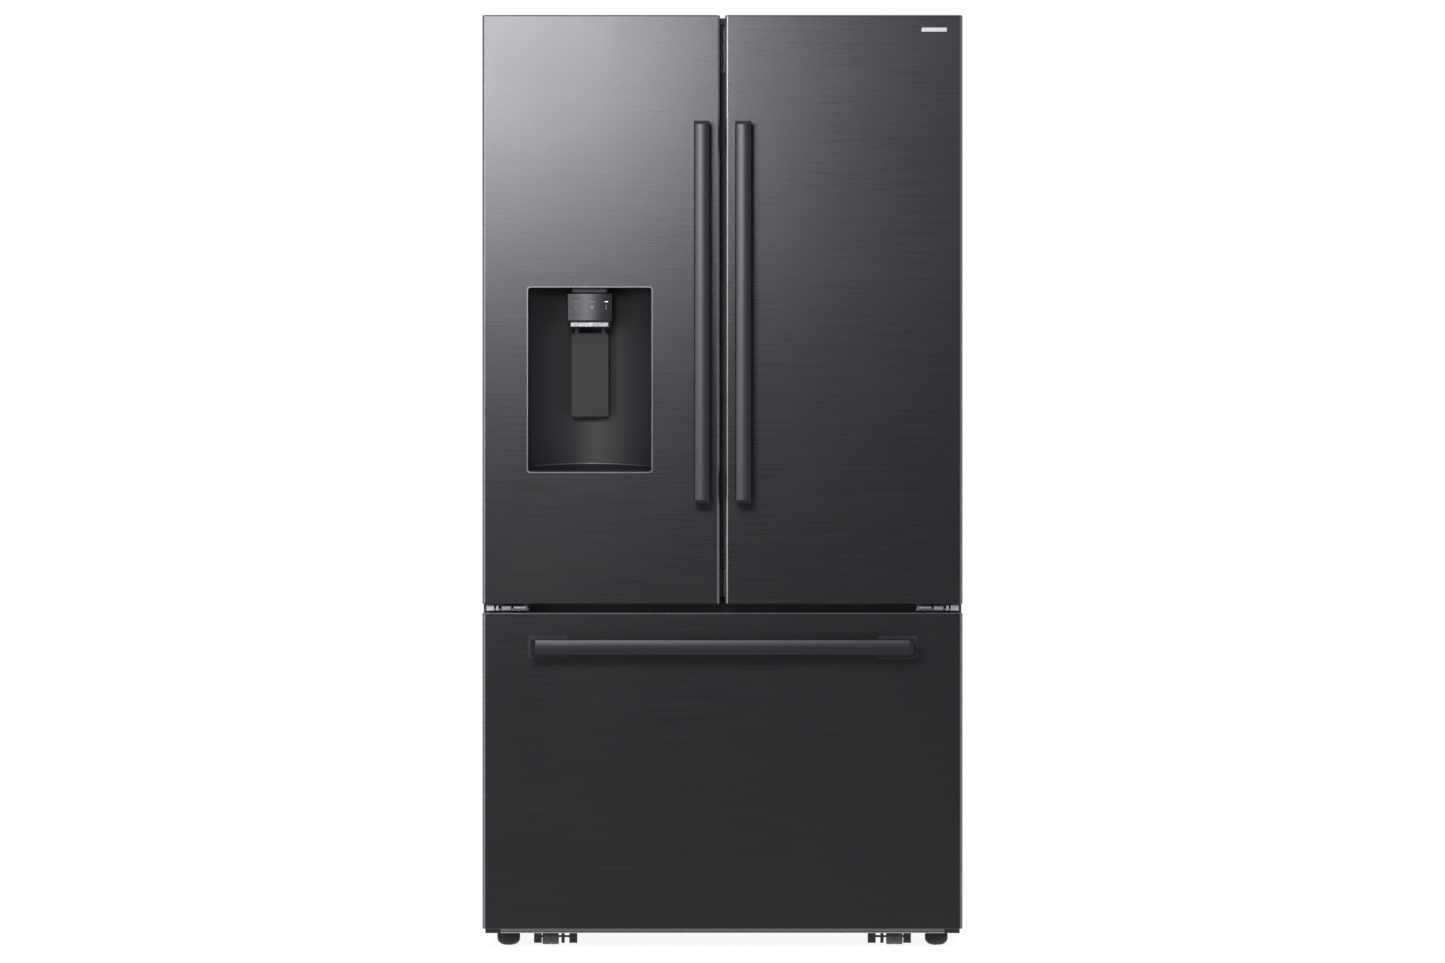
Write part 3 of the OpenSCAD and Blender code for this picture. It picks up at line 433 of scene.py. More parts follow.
def build_finishes(look):
    steel = tuple(look.steel_colour)
    handle = tuple(look.handle_colour)
    cabinet = tuple(look.cabinet_colour)
    inside = tuple(look.inside_colour)
    black = (0.012, 0.012, 0.014)
    rough = look.steel_roughness
    finish("black_steel_face", steel, 1.0, rough, (7, 7, 520), 0.09, 0.03, 0.04, 0.00002, 4.0)
    # The folds' finish is the door steel made brighter: a painted highlight on the folds and on the drawer's
    # upper hem.
    finish("black_steel_fold_highlight", [c * FOLD_HIGHLIGHT_SHARE for c in steel], 1.0, 0.36, (7, 7, 900), 0.15,
           0.05, 0.05, 0.00003)
    finish("satin_plate", (0.30, 0.30, 0.31), 1.0, 0.42, (12, 12, 900), 0.06, 0.04, 0.04, 0.00002)
    finish("handle_steel_upright", handle, 1.0, 0.36, (700, 700, 6), 0.08, 0.04, 0.05, 0.00003, 4.0)
    # The level handle's steel is the upright handles' colour darkened: painted shade for a bar whose top faces
    # the softbox.
    finish("handle_steel_level", [c * LEVEL_SHADE_SHARE for c in handle], 1.0, 0.36, (6, 700, 700), 0.08, 0.04,
           0.05, 0.00003, 4.0)
    finish("cabinet_paint", cabinet, 0.0, 0.48, (900, 900, 900), 0.08, 0.05, 0.25, 0.00008, 2.0)
    finish("galvanised_steel", (0.42, 0.43, 0.44), 1.0, 0.42, (55, 55, 55), 0.22, 0.10, 0.05, 0.00005, 6.0)
    finish("plated_steel", (0.38, 0.38, 0.385), 1.0, 0.30, (60, 400, 400), 0.10, 0.08, 0.06, 0.00003)
    finish("trim_steel", (0.20, 0.20, 0.21), 1.0, 0.36, (8, 500, 500), 0.12, 0.06, 0.05, 0.00003)
    finish("roller_nylon", (0.045, 0.046, 0.049), 0.0, 0.38, (60, 400, 400), 0.12, 0.06, 0.10, 0.00006)
    finish("frame_steel", (0.045, 0.045, 0.048), 0.8, 0.50, (200, 200, 200), 0.20, 0.08, 0.15, 0.0001)
    finish("black_plastic", black, 0.0, 0.45, (1500, 1500, 1500), 0.20, 0.06, 0.30, 0.00006, 2.0)
    # Dark trim metal for rims, feet and hinges; on the dispenser bowl's low bevel it is a painted highlight.
    finish("dark_rim", (0.095, 0.097, 0.104), 1.0, 0.36, (30, 30, 30), 0.10, 0.05, 0.04, 0.00003)
    finish("recess_plastic", look.recess_colour[:], 0.0, 0.46, (1300, 1300, 1300), 0.12, 0.05, 0.15, 0.00004,
           extra={"Specular IOR Level": 0.3})
    finish("dispenser_gloss", (0.040, 0.040, 0.0425), 1.0, 0.32, (20, 20, 200), 0.08, 0.04, 0.03, 0.00003)
    finish("bright_strip", (0.32, 0.32, 0.33), 1.0, 0.16, (40, 40, 40), 0.05, 0.04, 0.02, 0.00002)
    finish("paddle_rubber", (0.014, 0.014, 0.0155), 0.0, 0.55, (900, 900, 900), 0.12, 0.05, 0.30, 0.00006,
           extra={"Specular IOR Level": 0.25})
    finish("mark_grey", (0.11, 0.11, 0.115), 0.0, 0.50, (90, 90, 90), 0.10, 0.05, 0.02, 0.00002)
    finish("lit_mark", (0.9, 0.9, 0.92), 0.0, 0.4, (90, 90, 90), 0.03, 0.05, 0.02, 0.00002,
           extra={"Emission Color": (0.95, 0.97, 1.0, 1.0), "Emission Strength": 0.9})
    finish("light_panel", (0.9, 0.92, 0.95), 0.0, 0.5, (60, 60, 60), 0.03, 0.05, 0.02, 0.00002,
           extra={"Emission Color": (0.95, 0.97, 1.0, 1.0), "Emission Strength": 1.3})
    finish("liner_white", inside, 0.0, 0.32, (40, 40, 40), 0.015, 0.04, 0.05, 0.0001)
    finish("white_plastic", [c * 0.96 for c in inside], 0.0, 0.40, (700, 700, 700), 0.03, 0.05, 0.15, 0.00005)
    finish("shelf_trim", (0.62, 0.63, 0.64), 0.9, 0.34, (8, 300, 300), 0.05, 0.05, 0.04, 0.00003)
    finish("shelf_glass", (0.88, 0.96, 0.94), 0.0, 0.05, (20, 20, 20), 0.02, 0.02, 0.02, 0.00002,
           extra={"Transmission Weight": 0.92, "IOR": 1.5})
    finish("clear_plastic", (0.90, 0.94, 0.96), 0.0, 0.12, (15, 15, 15), 0.02, 0.04, 0.04, 0.0001,
           extra={"Transmission Weight": 0.80, "IOR": 1.35})
    finish("seal_grey", (0.055, 0.056, 0.06), 0.0, 0.60, (400, 400, 400), 0.10, 0.06, 0.25, 0.00008)
    finish("rubber_black", (0.016, 0.016, 0.017), 0.0, 0.55, (500, 500, 500), 0.18, 0.08, 0.35, 0.0001,
           extra={"Specular IOR Level": 0.3})
    finish("foam_cream", (0.72, 0.58, 0.30), 0.0, 0.85, (180, 180, 180), 0.15, 0.05, 0.8, 0.0006, 5.0)
    finish("compressor_black", (0.015, 0.015, 0.016), 0.1, 0.34, (250, 250, 250), 0.20, 0.08, 0.35, 0.0001)
    finish("coil_black", (0.02, 0.02, 0.021), 0.3, 0.45, (300, 300, 300), 0.20, 0.08, 0.25, 0.0001)
    finish("coil_aluminium", (0.70, 0.71, 0.72), 1.0, 0.36, (300, 300, 300), 0.08, 0.08, 0.15, 0.00005)


class RefrigeratorLook(bpy.types.PropertyGroup):
    """Colours of the refrigerator's finishes."""

    steel_colour: bpy.props.FloatVectorProperty(
        name="Black steel", description="Reflected colour of the door fronts", subtype="COLOR",
        size=3, min=0, max=1, default=(0.0312, 0.0315, 0.0334))
    steel_roughness: bpy.props.FloatProperty(
        name="Steel roughness", description="How widely the brushed fronts spread a highlight",
        min=0.05, max=1, default=0.260, subtype="FACTOR")
    handle_colour: bpy.props.FloatVectorProperty(
        name="Handle steel", description="Reflected colour of the handles", subtype="COLOR",
        size=3, min=0, max=1, default=(0.040, 0.041, 0.044))
    cabinet_colour: bpy.props.FloatVectorProperty(
        name="Cabinet paint", description="Colour of the painted cabinet", subtype="COLOR",
        size=3, min=0, max=1, default=(0.045, 0.046, 0.049))
    inside_colour: bpy.props.FloatVectorProperty(
        name="Liner", description="Colour of the moulded liners", subtype="COLOR",
        size=3, min=0, max=1, default=(0.80, 0.81, 0.82))
    recess_colour: bpy.props.FloatVectorProperty(
        name="Dispenser recess", description="Colour of the dispenser's moulded recess", subtype="COLOR",
        size=3, min=0, max=1, default=(0.0100, 0.0105, 0.0122))


class RefrigeratorSizes(bpy.types.PropertyGroup):
    """Sizes of the shown details, in millimetres."""

    fold_radius: bpy.props.FloatProperty(
        name="Side fold", description="Radius of the folds at a front's sides", min=2, max=5.4, default=5.0)
    hem_radius: bpy.props.FloatProperty(
        name="Hem fold", description="Radius of the folds at a front's top and bottom",
        min=0.8, max=4, default=2.2)
    handle_end_slope: bpy.props.FloatProperty(
        name="Handle end slope", description="Length of the slope at a handle's ends",
        min=1, max=10, default=6.0)
    rim_width: bpy.props.FloatProperty(
        name="Dispenser rim", description="Width of the bright rim round the dispenser",
        min=1, max=5, default=2.4)


class RefrigeratorStage(bpy.types.PropertyGroup):
    """Camera and light."""

    camera_distance: bpy.props.FloatProperty(
        name="Camera distance", description="From the door fronts to the camera", unit="LENGTH", default=30.0)
    camera_height: bpy.props.FloatProperty(
        name="Camera height", description="Height of the camera above the floor", unit="LENGTH", default=0.88)
    softbox_power: bpy.props.FloatProperty(
        name="Softbox power", description="Power of the light at the upper left", unit="POWER", default=80.0)
    side_light_power: bpy.props.FloatProperty(
        name="Side light power", description="Power of the tall light at the left; the right one has less",
        unit="POWER", default=32.0)


# ---------- fronts ----------

def folded_front(x, z, fold, hem, hole=None, notch=False):
    """A steel front folded round its sides, top and bottom, with the dispenser's opening cut in it."""
    y = (FRONT_Y, FLANGE_Y)
    shape = block(x, y, z)
    rear = [f for f in shape.faces if f.normal.y > 0.9]
    bmesh.ops.delete(shape, geom=rear, context="FACES")
    front = [e for e in shape.edges if all(abs(v.co.y - FRONT_Y) < 0.01 for v in e.verts)]
    uprights = [e for e in front if abs(e.verts[0].co.x - e.verts[1].co.x) < 0.01]
    round_edges(shape, uprights, fold, 7)
    hems = [e for e in shape.edges if len(e.link_faces) == 2
            and abs(e.calc_face_angle() - math.pi / 2) < 0.05
            and abs(e.verts[0].co.z - e.verts[1].co.z) < 0.01]
    hems += [e for e in shape.edges if e not in hems and len(e.link_faces) == 2
             and e.calc_face_angle() > 1.2 and abs(e.verts[0].co.z - e.verts[1].co.z) < 0.01]
    round_edges(shape, hems, hem, 4)
    shape.normal_update()
    if hole:
        face = min(shape.faces, key=lambda f: (round(f.normal.y, 2), -f.calc_area()))
        bmesh.ops.delete(shape, geom=[face], context="FACES_ONLY")
        u, v, radius = hole
        ring = outline(u, v, radius)
        bmesh.ops.delete(ring, geom=ring.faces[:], context="FACES_ONLY")
        turn = Matrix(((1, 0, 0, 0), (0, 0, 1, FRONT_Y), (0, 1, 0, 0), (0, 0, 0, 1)))
        bmesh.ops.transform(ring, matrix=turn, verts=ring.verts)
        absorb(shape, ring)
        shape.edges.ensure_lookup_table()
        rim = [e for e in shape.edges if e.is_boundary
               and all(abs(w.co.y - FRONT_Y) < 0.01 for w in e.verts)]
        loose = [e for e in shape.edges if not e.link_faces]
        bmesh.ops.triangle_fill(shape, edges=rim + loose, use_beauty=True)
    cut_away(shape, lambda f: abs(f.normal.z) > 0.98,
             (x[0] + HEM_DEPTH, x[1] - HEM_DEPTH), (FRONT_Y + HEM_DEPTH, FLANGE_Y + 1), (z[0] - 1, z[1] + 1))
    if notch:
        cut_away(shape, lambda f: f.normal.y > -0.5,
                 (x[0] - 1, x[0] + HINGE_POCKET_X), (FRONT_Y + 8, FLANGE_Y + 1),
                 (HINGE_POCKET_Z, z[1] + 1))
    bmesh.ops.remove_doubles(shape, verts=shape.verts, dist=0.001)
    bmesh.ops.recalc_face_normals(shape, faces=shape.faces[:])
    return shape


def cut_away(shape, chosen, x, y, z):
    """Take the part of the chosen faces that lies inside a box out of the shape."""
    for axis, reach in enumerate((x, y, z)):
        for side in reach:
            spot, way = Vector(), Vector()
            spot[axis], way[axis] = side, 1
            part = [g for f in shape.faces if chosen(f) for g in (f, *f.edges, *f.verts)]
            bmesh.ops.bisect_plane(shape, geom=list(dict.fromkeys(part)), plane_co=spot, plane_no=way)
    shape.normal_update()
    gone = [f for f in shape.faces if chosen(f)
            and all(r[0] < c < r[1] for c, r in zip(f.calc_center_median(), (x, y, z)))]
    bmesh.ops.delete(shape, geom=gone, context="FACES")


def sheet_metal(shape, thickness=1.0):
    bmesh.ops.solidify(shape, geom=shape.faces[:], thickness=thickness)
    bmesh.ops.recalc_face_normals(shape, faces=shape.faces[:])
    shape.normal_update()
    return shape


def highlight_folds(shape, fold, hem=False):
    """Give a front's upright folds, and its upper hem if wanted, the second, brighter finish: a painted
    highlight where the folds catch the light.
    """
    low, high = min(v.co.x for v in shape.verts), max(v.co.x for v in shape.verts)
    for face in shape.faces:
        at = face.calc_center_median()
        beside = min(at.x - low, high - at.x) < fold
        if beside and at.y < FRONT_Y + fold and -0.995 < face.normal.y < -0.02 and abs(face.normal.x) > 0.05:
            face.material_index = 1
        elif hem and 0.3 < face.normal.z < 0.98 and face.normal.y < -0.05:
            face.material_index = 1
    return shape


def make_fronts(sizes):
    fold, hem = sizes.fold_radius, sizes.hem_radius
    hole = (RECESS[0], RECESS[2], 5.0)
    for side, body in (("left", "left_door"), ("right", "right_door")):
        x, z = LEFT_DOOR[0], LEFT_DOOR[2]
        shape = folded_front(x, z, fold, hem, hole if side == "left" else None, True)
        shape = highlight_folds(mirrored(sheet_metal(shape), side == "right"), fold)
        piece(f"{side}_door_front", [(shape, ("black_steel_face", "black_steel_fold_highlight"))], body,
              [f"{side}_door_skin"])
        copy_nodes(f"{side}_caps")
    # The drawer's upward-facing upper hem also takes the painted highlight.
    shape = highlight_folds(sheet_metal(folded_front(DRAWER[0], DRAWER[2], fold, hem)), fold, True)
    piece("drawer_front", [(shape, ("black_steel_face", "black_steel_fold_highlight"))], "freezer_drawer",
          ["drawer_skin"])
    copy_nodes("drawer_caps")


def make_badge():
    """A blank satin plate in the right door's upper corner."""
    shape = slab("y", BADGE_X, (FRONT_Y - 0.7, FRONT_Y + 0.3), BADGE_Z, 1.2, 0.25)
    piece("blank_satin_plate", [(shape, "satin_plate")], "right_door")


# ---------- handles ----------

def crowned_bar(axis, across, along, depth, slope, side=1.6, crown=3.0):
    """A flat bar with a crowned front, sloping ends and eased sides; depth runs from front to back."""
    shape = bmesh.new()
    bmesh.ops.create_grid(shape, x_segments=12, y_segments=1, size=0.5)
    half = (across[1] - across[0]) / 2
    reach = half - side
    length = along[1] - along[0] - 2 * slope
    bmesh.ops.scale(shape, vec=(2 * reach, length, 1), verts=shape.verts)
    radius = (half * half + crown * crown) / (2 * crown)
    for vert in shape.verts:
        vert.co.z = radius - math.sqrt(radius ** 2 - vert.co.x ** 2)
    wide, tall = half / reach, (length + 2 * slope) / length
    for scale_u, scale_v, flat in ((wide, tall, False), (1, 1, True)):
        edges = [e for e in shape.edges if e.is_boundary]
        made = bmesh.ops.extrude_edge_only(shape, edges=edges)
        ring = [g for g in made["geom"] if isinstance(g, bmesh.types.BMVert)]
        bmesh.ops.scale(shape, vec=(scale_u, scale_v, 1), verts=ring)
        for vert in ring:
            ends = abs(abs(vert.co.y) - length / 2 * tall) < 0.01 and abs(abs(vert.co.x) - half) > 0.01
            eased = vert.co.z + (slope if ends else side)
            vert.co.z = depth[1] - depth[0] if flat else eased
    bmesh.ops.edgeloop_fill(shape, edges=[e for e in shape.edges if e.is_boundary])
    soften(shape, 0.5, 2, 0.35)
    if axis == "z":
        turn = Matrix(((1, 0, 0, middle(across)), (0, 0, 1, depth[0]), (0, 1, 0, middle(along)), (0, 0, 0, 1)))
    else:
        turn = Matrix(((0, 1, 0, middle(along)), (0, 0, 1, depth[0]), (1, 0, 0, middle(across)), (0, 0, 0, 1)))
    bmesh.ops.transform(shape, matrix=turn, verts=shape.verts)
    bmesh.ops.recalc_face_normals(shape, faces=shape.faces[:])
    return shape


def make_handles(sizes):
    slope = sizes.handle_end_slope
    for side in ("left", "right"):
        x, y, z = span(f"{side}_handle")
        bar = crowned_bar("z", x, z, (y[0], y[0] + 22), slope)
        parts = [(bar, "handle_steel_upright")]
        for reach in ((z[0] + 1, z[0] + 60), (z[1] - 60, z[1] - 1)):
            post = slab("y", grow(x, -2), (y[0] + 21, y[1]), reach, 3.0, 0.8)
            foot = slab("y", grow(x, -0.6), (y[1] - 2.5, y[1] + 0.4), grow(reach, 0.6), 3.5, 0.8)
            parts += [(post, "handle_steel_upright"), (foot, "dark_rim")]
        piece(f"{side}_door_handle", parts, f"{side}_door", [f"{side}_handle"])
    x, y, z = span("drawer_handle")
    bar = crowned_bar("x", (middle(z) - 15, middle(z) + 15), grow(x, -0.5), (y[0], y[0] + 22), 8.0, 1.2, 1.9)
    parts = [(bar, "handle_steel_level")]
    for side in (-1, 1):
        reach = (-361.0, -300.5) if side < 0 else (300.5, 361.0)
        tall = (middle(z) - 15.5, middle(z) + 15.5)
        post = loft("y", [
            (grow(reach, 0), grow(tall, 0), y[1], 3),
            (grow(reach, 0), grow(tall, 0), y[1] - 14, 3),
            (grow(reach, -3), grow(tall, -3), y[0] + 21.5, 3),
        ], False, False)
        rim = plate("y", (grow(reach, 7), grow(tall, 5.5), 6), [(grow(reach, 6.0), grow(tall, 4.5), 5)],
                    (y[1] - 1.6, y[1] + 0.4), 0.4)
        # A flat dark plate inside the ring: painted shade standing for the shaded pocket round the post.
        shaded_pocket_plate = slab("y", grow(reach, 6), (y[1] - 0.5, y[1] + 0.3), grow(tall, 4.5), 5)
        parts += [(post, "handle_steel_level"), (rim, "dark_rim"), (shaded_pocket_plate, "recess_plastic")]
    piece("drawer_pull_handle", parts, "freezer_drawer", ["drawer_handle"])


# ---------- dispenser ----------

def recess_bowl():
    """The dispenser's concave wall, sloping floor and ceiling, as one skin seen from the front."""
    x, z = RECESS[0], RECESS[2]
    side_y, back_y = FRONT_Y + 45, FRONT_Y + 92
    half = (x[1] - x[0]) / 2
    rise = back_y - side_y
    radius = (half ** 2 + rise ** 2) / (2 * rise)
    sweep = 2 * math.asin(half / radius)
    centre = (middle(x), back_y - radius, 0)
    shape = bmesh.new()
    corner = shape.verts.new((x[0], side_y, z[0] - 1))
    bmesh.ops.spin(shape, geom=[corner], cent=centre, axis=(0, 0, 1), angle=-sweep, steps=36)
    ends = [v for v in shape.verts if len(v.link_edges) == 1]
    for end in ends:
        lip = shape.verts.new((end.co.x, FRONT_Y - 0.2, end.co.z))
        shape.edges.new((end, lip))
    made = bmesh.ops.extrude_edge_only(shape, edges=shape.edges[:])
    top = [g for g in made["geom"] if isinstance(g, bmesh.types.BMVert)]
    bmesh.ops.translate(shape, vec=(0, 0, z[1] - z[0] + 1), verts=top)
    floor_at, slope = Vector((0, FRONT_Y, z[0] + 2)), 13.0 / 95.0
    bmesh.ops.bisect_plane(shape, geom=shape.verts[:] + shape.edges[:] + shape.faces[:],
                           plane_co=floor_at, plane_no=(0, -slope, 1), clear_inner=True)
    low = [e for e in shape.edges if e.is_boundary and max(v.co.z for v in e.verts) < z[0] + 20
           and abs(e.verts[0].co.z - e.verts[1].co.z) < 12]
    high = [e for e in shape.edges if e.is_boundary and min(v.co.z for v in e.verts) > z[1] - 0.1]
    for loop in (low, high):
        tips = [v for v in {w for e in loop for w in e.verts} if sum(e in loop for e in v.link_edges) == 1]
        closing = shape.edges.new(tips) if not shape.edges.get(tips) else shape.edges.get(tips)
        bmesh.ops.edgeloop_fill(shape, edges=loop + [closing])
    bmesh.ops.recalc_face_normals(shape, faces=shape.faces[:])
    if sum(f.normal.y * f.calc_area() for f in shape.faces) > 0:
        bmesh.ops.reverse_faces(shape, faces=shape.faces[:])
    round_edges(shape, [e for e in shape.edges if len(e.link_faces) == 2 and e.calc_face_angle() > 0.7], 2.5, 4)
    shape.normal_update()
    # Faces of the low bevel that face up and forward take the second, brighter finish: a painted highlight
    # along the floor's back edge.
    for face in shape.faces:
        low = face.calc_center_median().z < z[0] + 20
        face.material_index = int(low and 0.15 < face.normal.z < 0.93 and face.normal.y < -0.3)
    return shape


def make_dispenser(sizes):
    x, z = RECESS[0], RECESS[2]
    wide = sizes.rim_width
    rim = plate("y", (grow(x, wide), grow(z, wide), 7), [(grow(x, -0.4), grow(z, -0.4), 5)],
                (FRONT_Y - 1.0, FRONT_Y + 4), 0.4)
    backing = softened("dispenser_housing", 0)
    shell = sheet_metal(recess_bowl(), 1.0)
    chute = [f for f in backing.faces if f.calc_center_median().z < z[1] + 4]
    bmesh.ops.delete(backing, geom=chute, context="FACES")
    # The bowl's second finish paints a highlight on its low bevel.
    parts = [(rim, "dark_rim"), (shell, ("recess_plastic", "dark_rim")), (backing, "black_plastic")]
    for side in (-1, 1):
        at = middle(x) + side * 33
        lug = block((at - 3, at + 3), (FRONT_Y + 65, FRONT_Y + 90), (1185, 1199), 1.0)
        parts.append((lug, "black_plastic"))
    piece("dispenser_recess", parts, "left_door", ["dispenser_housing"])

    hx, hy, hz = span("dispenser_head")
    wall = 1182.5
    front = crowned_bar("z", hx, (wall, 1237.5), (hy[0], hy[0] + 12), 2.2, 2.0, HEAD_CROWN)
    body = slab("z", grow(hx, -0.2), (hy[0] + 10, hy[1]), (wall, 1238), 5, 1.0)
    neck = slab("z", grow(hx, -9), (hy[0] + 11, hy[1] - 3), (1237, hz[1]), 4)
    nozzle = slab("z", grow(hx, -4), (hy[0] + 3, hy[1] - 3), (hz[0] + 0.2, wall + 0.5), 6, 1.0)
    parts = [(front, "dispenser_gloss"), (body, "dispenser_gloss"), (neck, "recess_plastic"),
             (nozzle, "recess_plastic")]
    lens = slab("z", grow(hx, -6.5), (hy[0] + 2.2, hy[0] + 9), (hz[0] + 1.5, wall - 1.5), 3, 0.6)
    parts.append((lens, "bright_strip"))
    for number, at in enumerate((-275.0, -247.0, -222.0)):
        lit = "lit_mark" if number == 2 else "mark_grey"
        sag = 0.35 + ((at - middle(hx)) / 43.7) ** 2 * HEAD_CROWN
        skin = (hy[0] + sag - 0.45, hy[0] + sag + 0.5)
        parts.append((block((at - 5.5, at + 5.5), skin, (1219.5, 1220.9)), lit))
        if number == 0:
            mark = plate("y", ((at - 3.5, at + 3.5), (1206, 1213), 1),
                         [((at - 2.5, at + 2.5), (1207, 1212), 0.6)], skin)
        elif number == 1:
            mark = rod("y", (at, skin[0], 1209.5), 3.2, skin[1] - skin[0])
        else:
            mark = plate("y", ((at - 3, at + 3), (1206, 1213), 0.8),
                         [((at - 2, at + 2), (1207.2, 1211.8), 0.5)], skin)
        parts.append((mark, "mark_grey"))
    piece("dispenser_control_head", parts, "left_door", ["dispenser_head"])

    px, py, pz = span("dispenser_paddle")
    at = middle(RECESS[0])
    px, pz = (at - 35.75, at + 35.75), (1002.0, 1162.0)
    pad = slab("y", px, (py[0], py[0] + 5), pz, 6, 1.4)
    parts = [(pad, "paddle_rubber"), (rod("x", (at - 37, -331.5, 1192), 2.0, 74), "plated_steel")]
    for side in (-1, 1):
        arm = (at + side * 25 - 3, at + side * 25 + 3)
        parts.append((block(arm, (py[0], py[0] + 5), (1161, 1196), 0.6), "black_plastic"))
        parts.append((block(arm, (py[0] + 4, -327.5), (1188, 1196), 0.6), "black_plastic"))
    piece("dispenser_push_paddle", parts, "paddle", ["dispenser_paddle"])


# ---------- seals, hinges, base ----------

def bellows(x, z):
    """A door gasket: a soft bellows with a magnet channel, run round the door's edge."""
    y = (FLANGE_Y + 0.1, FLANGE_Y + 12.2)
    out = [0.0, 1.6, 0.2, 1.8, 0.0]
    shape = bmesh.new()
    rings = []
    for i, inset in enumerate(out):
        w = y[0] + (y[1] - y[0]) * i / (len(out) - 1)
        rings.append((grow(x, -inset), grow(z, -inset), w, 5))
    for i, inset in reversed(list(enumerate(out))):
        w = y[0] + (y[1] - y[0]) * i / (len(out) - 1)
        rings.append((grow(x, -14 + inset), grow(z, -14 + inset), w, 3))
    rings.append(rings[0])
    shape = loft("y", rings, False, False)
    bmesh.ops.remove_doubles(shape, verts=shape.verts, dist=0.001)
    bmesh.ops.recalc_face_normals(shape, faces=shape.faces[:])
    return shape


def make_seals():
    for name, body in (("left_door", "left_door"), ("right_door", "right_door"), ("drawer", "freezer_drawer")):
        x, _, z = span(f"{name}_gasket")
        piece(f"{name}_seal", [(bellows(x, z), "seal_grey")], body, [f"{name}_gasket"])
    for side, body, tip in ((-1, "left_door", 0.2), (1, "right_door", -0.8)):
        reach, y = (-6.0, tip), (FRONT_Y + 38, FRONT_Y + 42)
        parts = []
        for tall, kind in (((662, 714), "black_plastic"), ((715, 1653), "rubber_black"),
                           ((1654, 1740), "black_plastic")):
            strip = block(reach, y, tall, 0.8)
            rib = block((tip - 2.2, tip - 0.4), (y[0] - 1.2, y[0] + 0.6), grow(tall, -0.6), 0.5)
            parts += [(mirrored(strip, side > 0), kind), (mirrored(rib, side > 0), kind)]
        piece(f"{body}_centre_lip", parts, body)


def make_hinges():
    copy_nodes("hinges")
    parts = [(softened("middle_hinges", 0.4), "dark_rim")]
    for side in (-1, 1):
        front = -386.3
        details = [
            (block((432, 446.5), (front, -372), (635, 646.5), 0.8), "plated_steel"),
            (block((423.5, 428.5), (front, -372), (635.5, 646), 0.6), "plated_steel"),
            (block((398, 420), (front, -374), (634.5, 646.5), 0.8), "black_plastic"),
            (block((400.5, 417.5), (front - 0.4, -376), (636.5, 644.5), 0.6), "trim_steel"),
            (block((371, 396), (front, -376), (637.5, 645.5), 0.8), "dark_rim"),
            (rod("z", (371, front + 5.5, 637.5), 5.0, 8, 0.8), "dark_rim"),
        ]
        for step in range(5):
            at = 374.5 + 4.6 * step
            details.append((rod("y", (at, front - 0.5, 641.5), 1.5, 2), "plated_steel"))
        parts += [(mirrored(shape, side < 0), kind) for shape, kind in details]
    piece("middle_hinge_pair", parts, "cabinet", ["middle_hinges"])
    copy_nodes("hinge_cover")


def knurled_foot(side):
    """A levelling foot: domed sole, knurled grip ring and threaded stud."""
    profile = [(0, 0), (6, 0), (10.5, 0.9), (14.5, 2.4), (17.7, 4.7), (20, 7.6), (21.3, 10.8), (21.6, 13),
               (21.6, 20.8), (20.4, 22.2), (5.5, 22.2)]
    foot = lathe("z", profile, (0, 0, 0), 72)
    for vert in foot.verts:
        turned = math.atan2(vert.co.y, vert.co.x) / math.tau * 72
        if 10 < vert.co.z < 21 and math.hypot(vert.co.x, vert.co.y) > 20.5 and round(turned) % 2:
            vert.co.x, vert.co.y = vert.co.x * 0.962, vert.co.y * 0.962
    stud_profile = [(0, 22)]
    for turn in range(14):
        stud_profile += [(4.0, 22.1 + turn * 1.5), (4.9, 22.85 + turn * 1.5)]
    stud = lathe("z", stud_profile + [(4.0, 43.6), (0, 44)], (0, 0, 0), 20)
    at = Matrix.Translation((side * 406, -265, 0))
    for shape in (foot, stud):
        bmesh.ops.transform(shape, matrix=at, verts=shape.verts)
    return [(foot, "rubber_black"), (stud, "plated_steel")]


def tyre(x, centre, radius):
    """A roller with a grooved tread, sunken sides and a bored hub."""
    width = x[1] - x[0]
    half = width / 2
    profile = [(2.1, 1), (6, 1), (7, 3), (radius - 5, 3), (radius - 3.5, 0.6), (radius - 1.2, 0), (radius, 1.4),
               (radius, half - 1.5), (radius - 1, half - 0.8), (radius - 1, half + 0.8), (radius, half + 1.5),
               (radius, width - 1.4), (radius - 1.2, width), (radius - 3.5, width - 0.6),
               (radius - 5, width - 3), (7, width - 3), (6, width - 1), (2.1, width - 1), (2.1, 1)]
    return lathe("x", profile, (x[0], *centre), 40)


def make_base():
    x, y, z = span("base_trim")
    reach = (-421.0, 421.0)
    lip = loft("x", [((y[0] + 1, y[1]), (24, z[1]), at, 1.2) for at in reach], True, True)
    edge = slab("x", reach, (y[0], y[0] + 5), (z[0], z[0] + 3.2), 1.2)
    parts = [(lip, "trim_steel"), (edge, "plated_steel")]
    for side in (-1, 1):
        cap = block((421.3, x[1]), (y[0] + 0.5, y[1]), z, 1.2)
        parts.append((mirrored(cap, side < 0), "black_plastic"))
    piece("base_front_strip", parts, "cabinet", ["base_trim"])
    copy_nodes("base")
    for side, name in ((-1, "left"), (1, "right")):
        piece(f"{name}_levelling_foot", knurled_foot(side), f"{name}_foot", [f"{name}_leg"])
    for node, body, at, radius in (("front_rollers", "front_wheels", (-250, 16), 15.5),
                                   ("rear_rollers", "rear_wheels", (400, 20), 20)):
        reach = (311, 342) if node == "front_rollers" else (318, 342)
        pair = [(tyre(side, at, radius), "roller_nylon") for side in (reach, (-reach[1], -reach[0]))]
        piece(f"{node}_pair", pair, body, [node])


# ---------- cabinet ----------

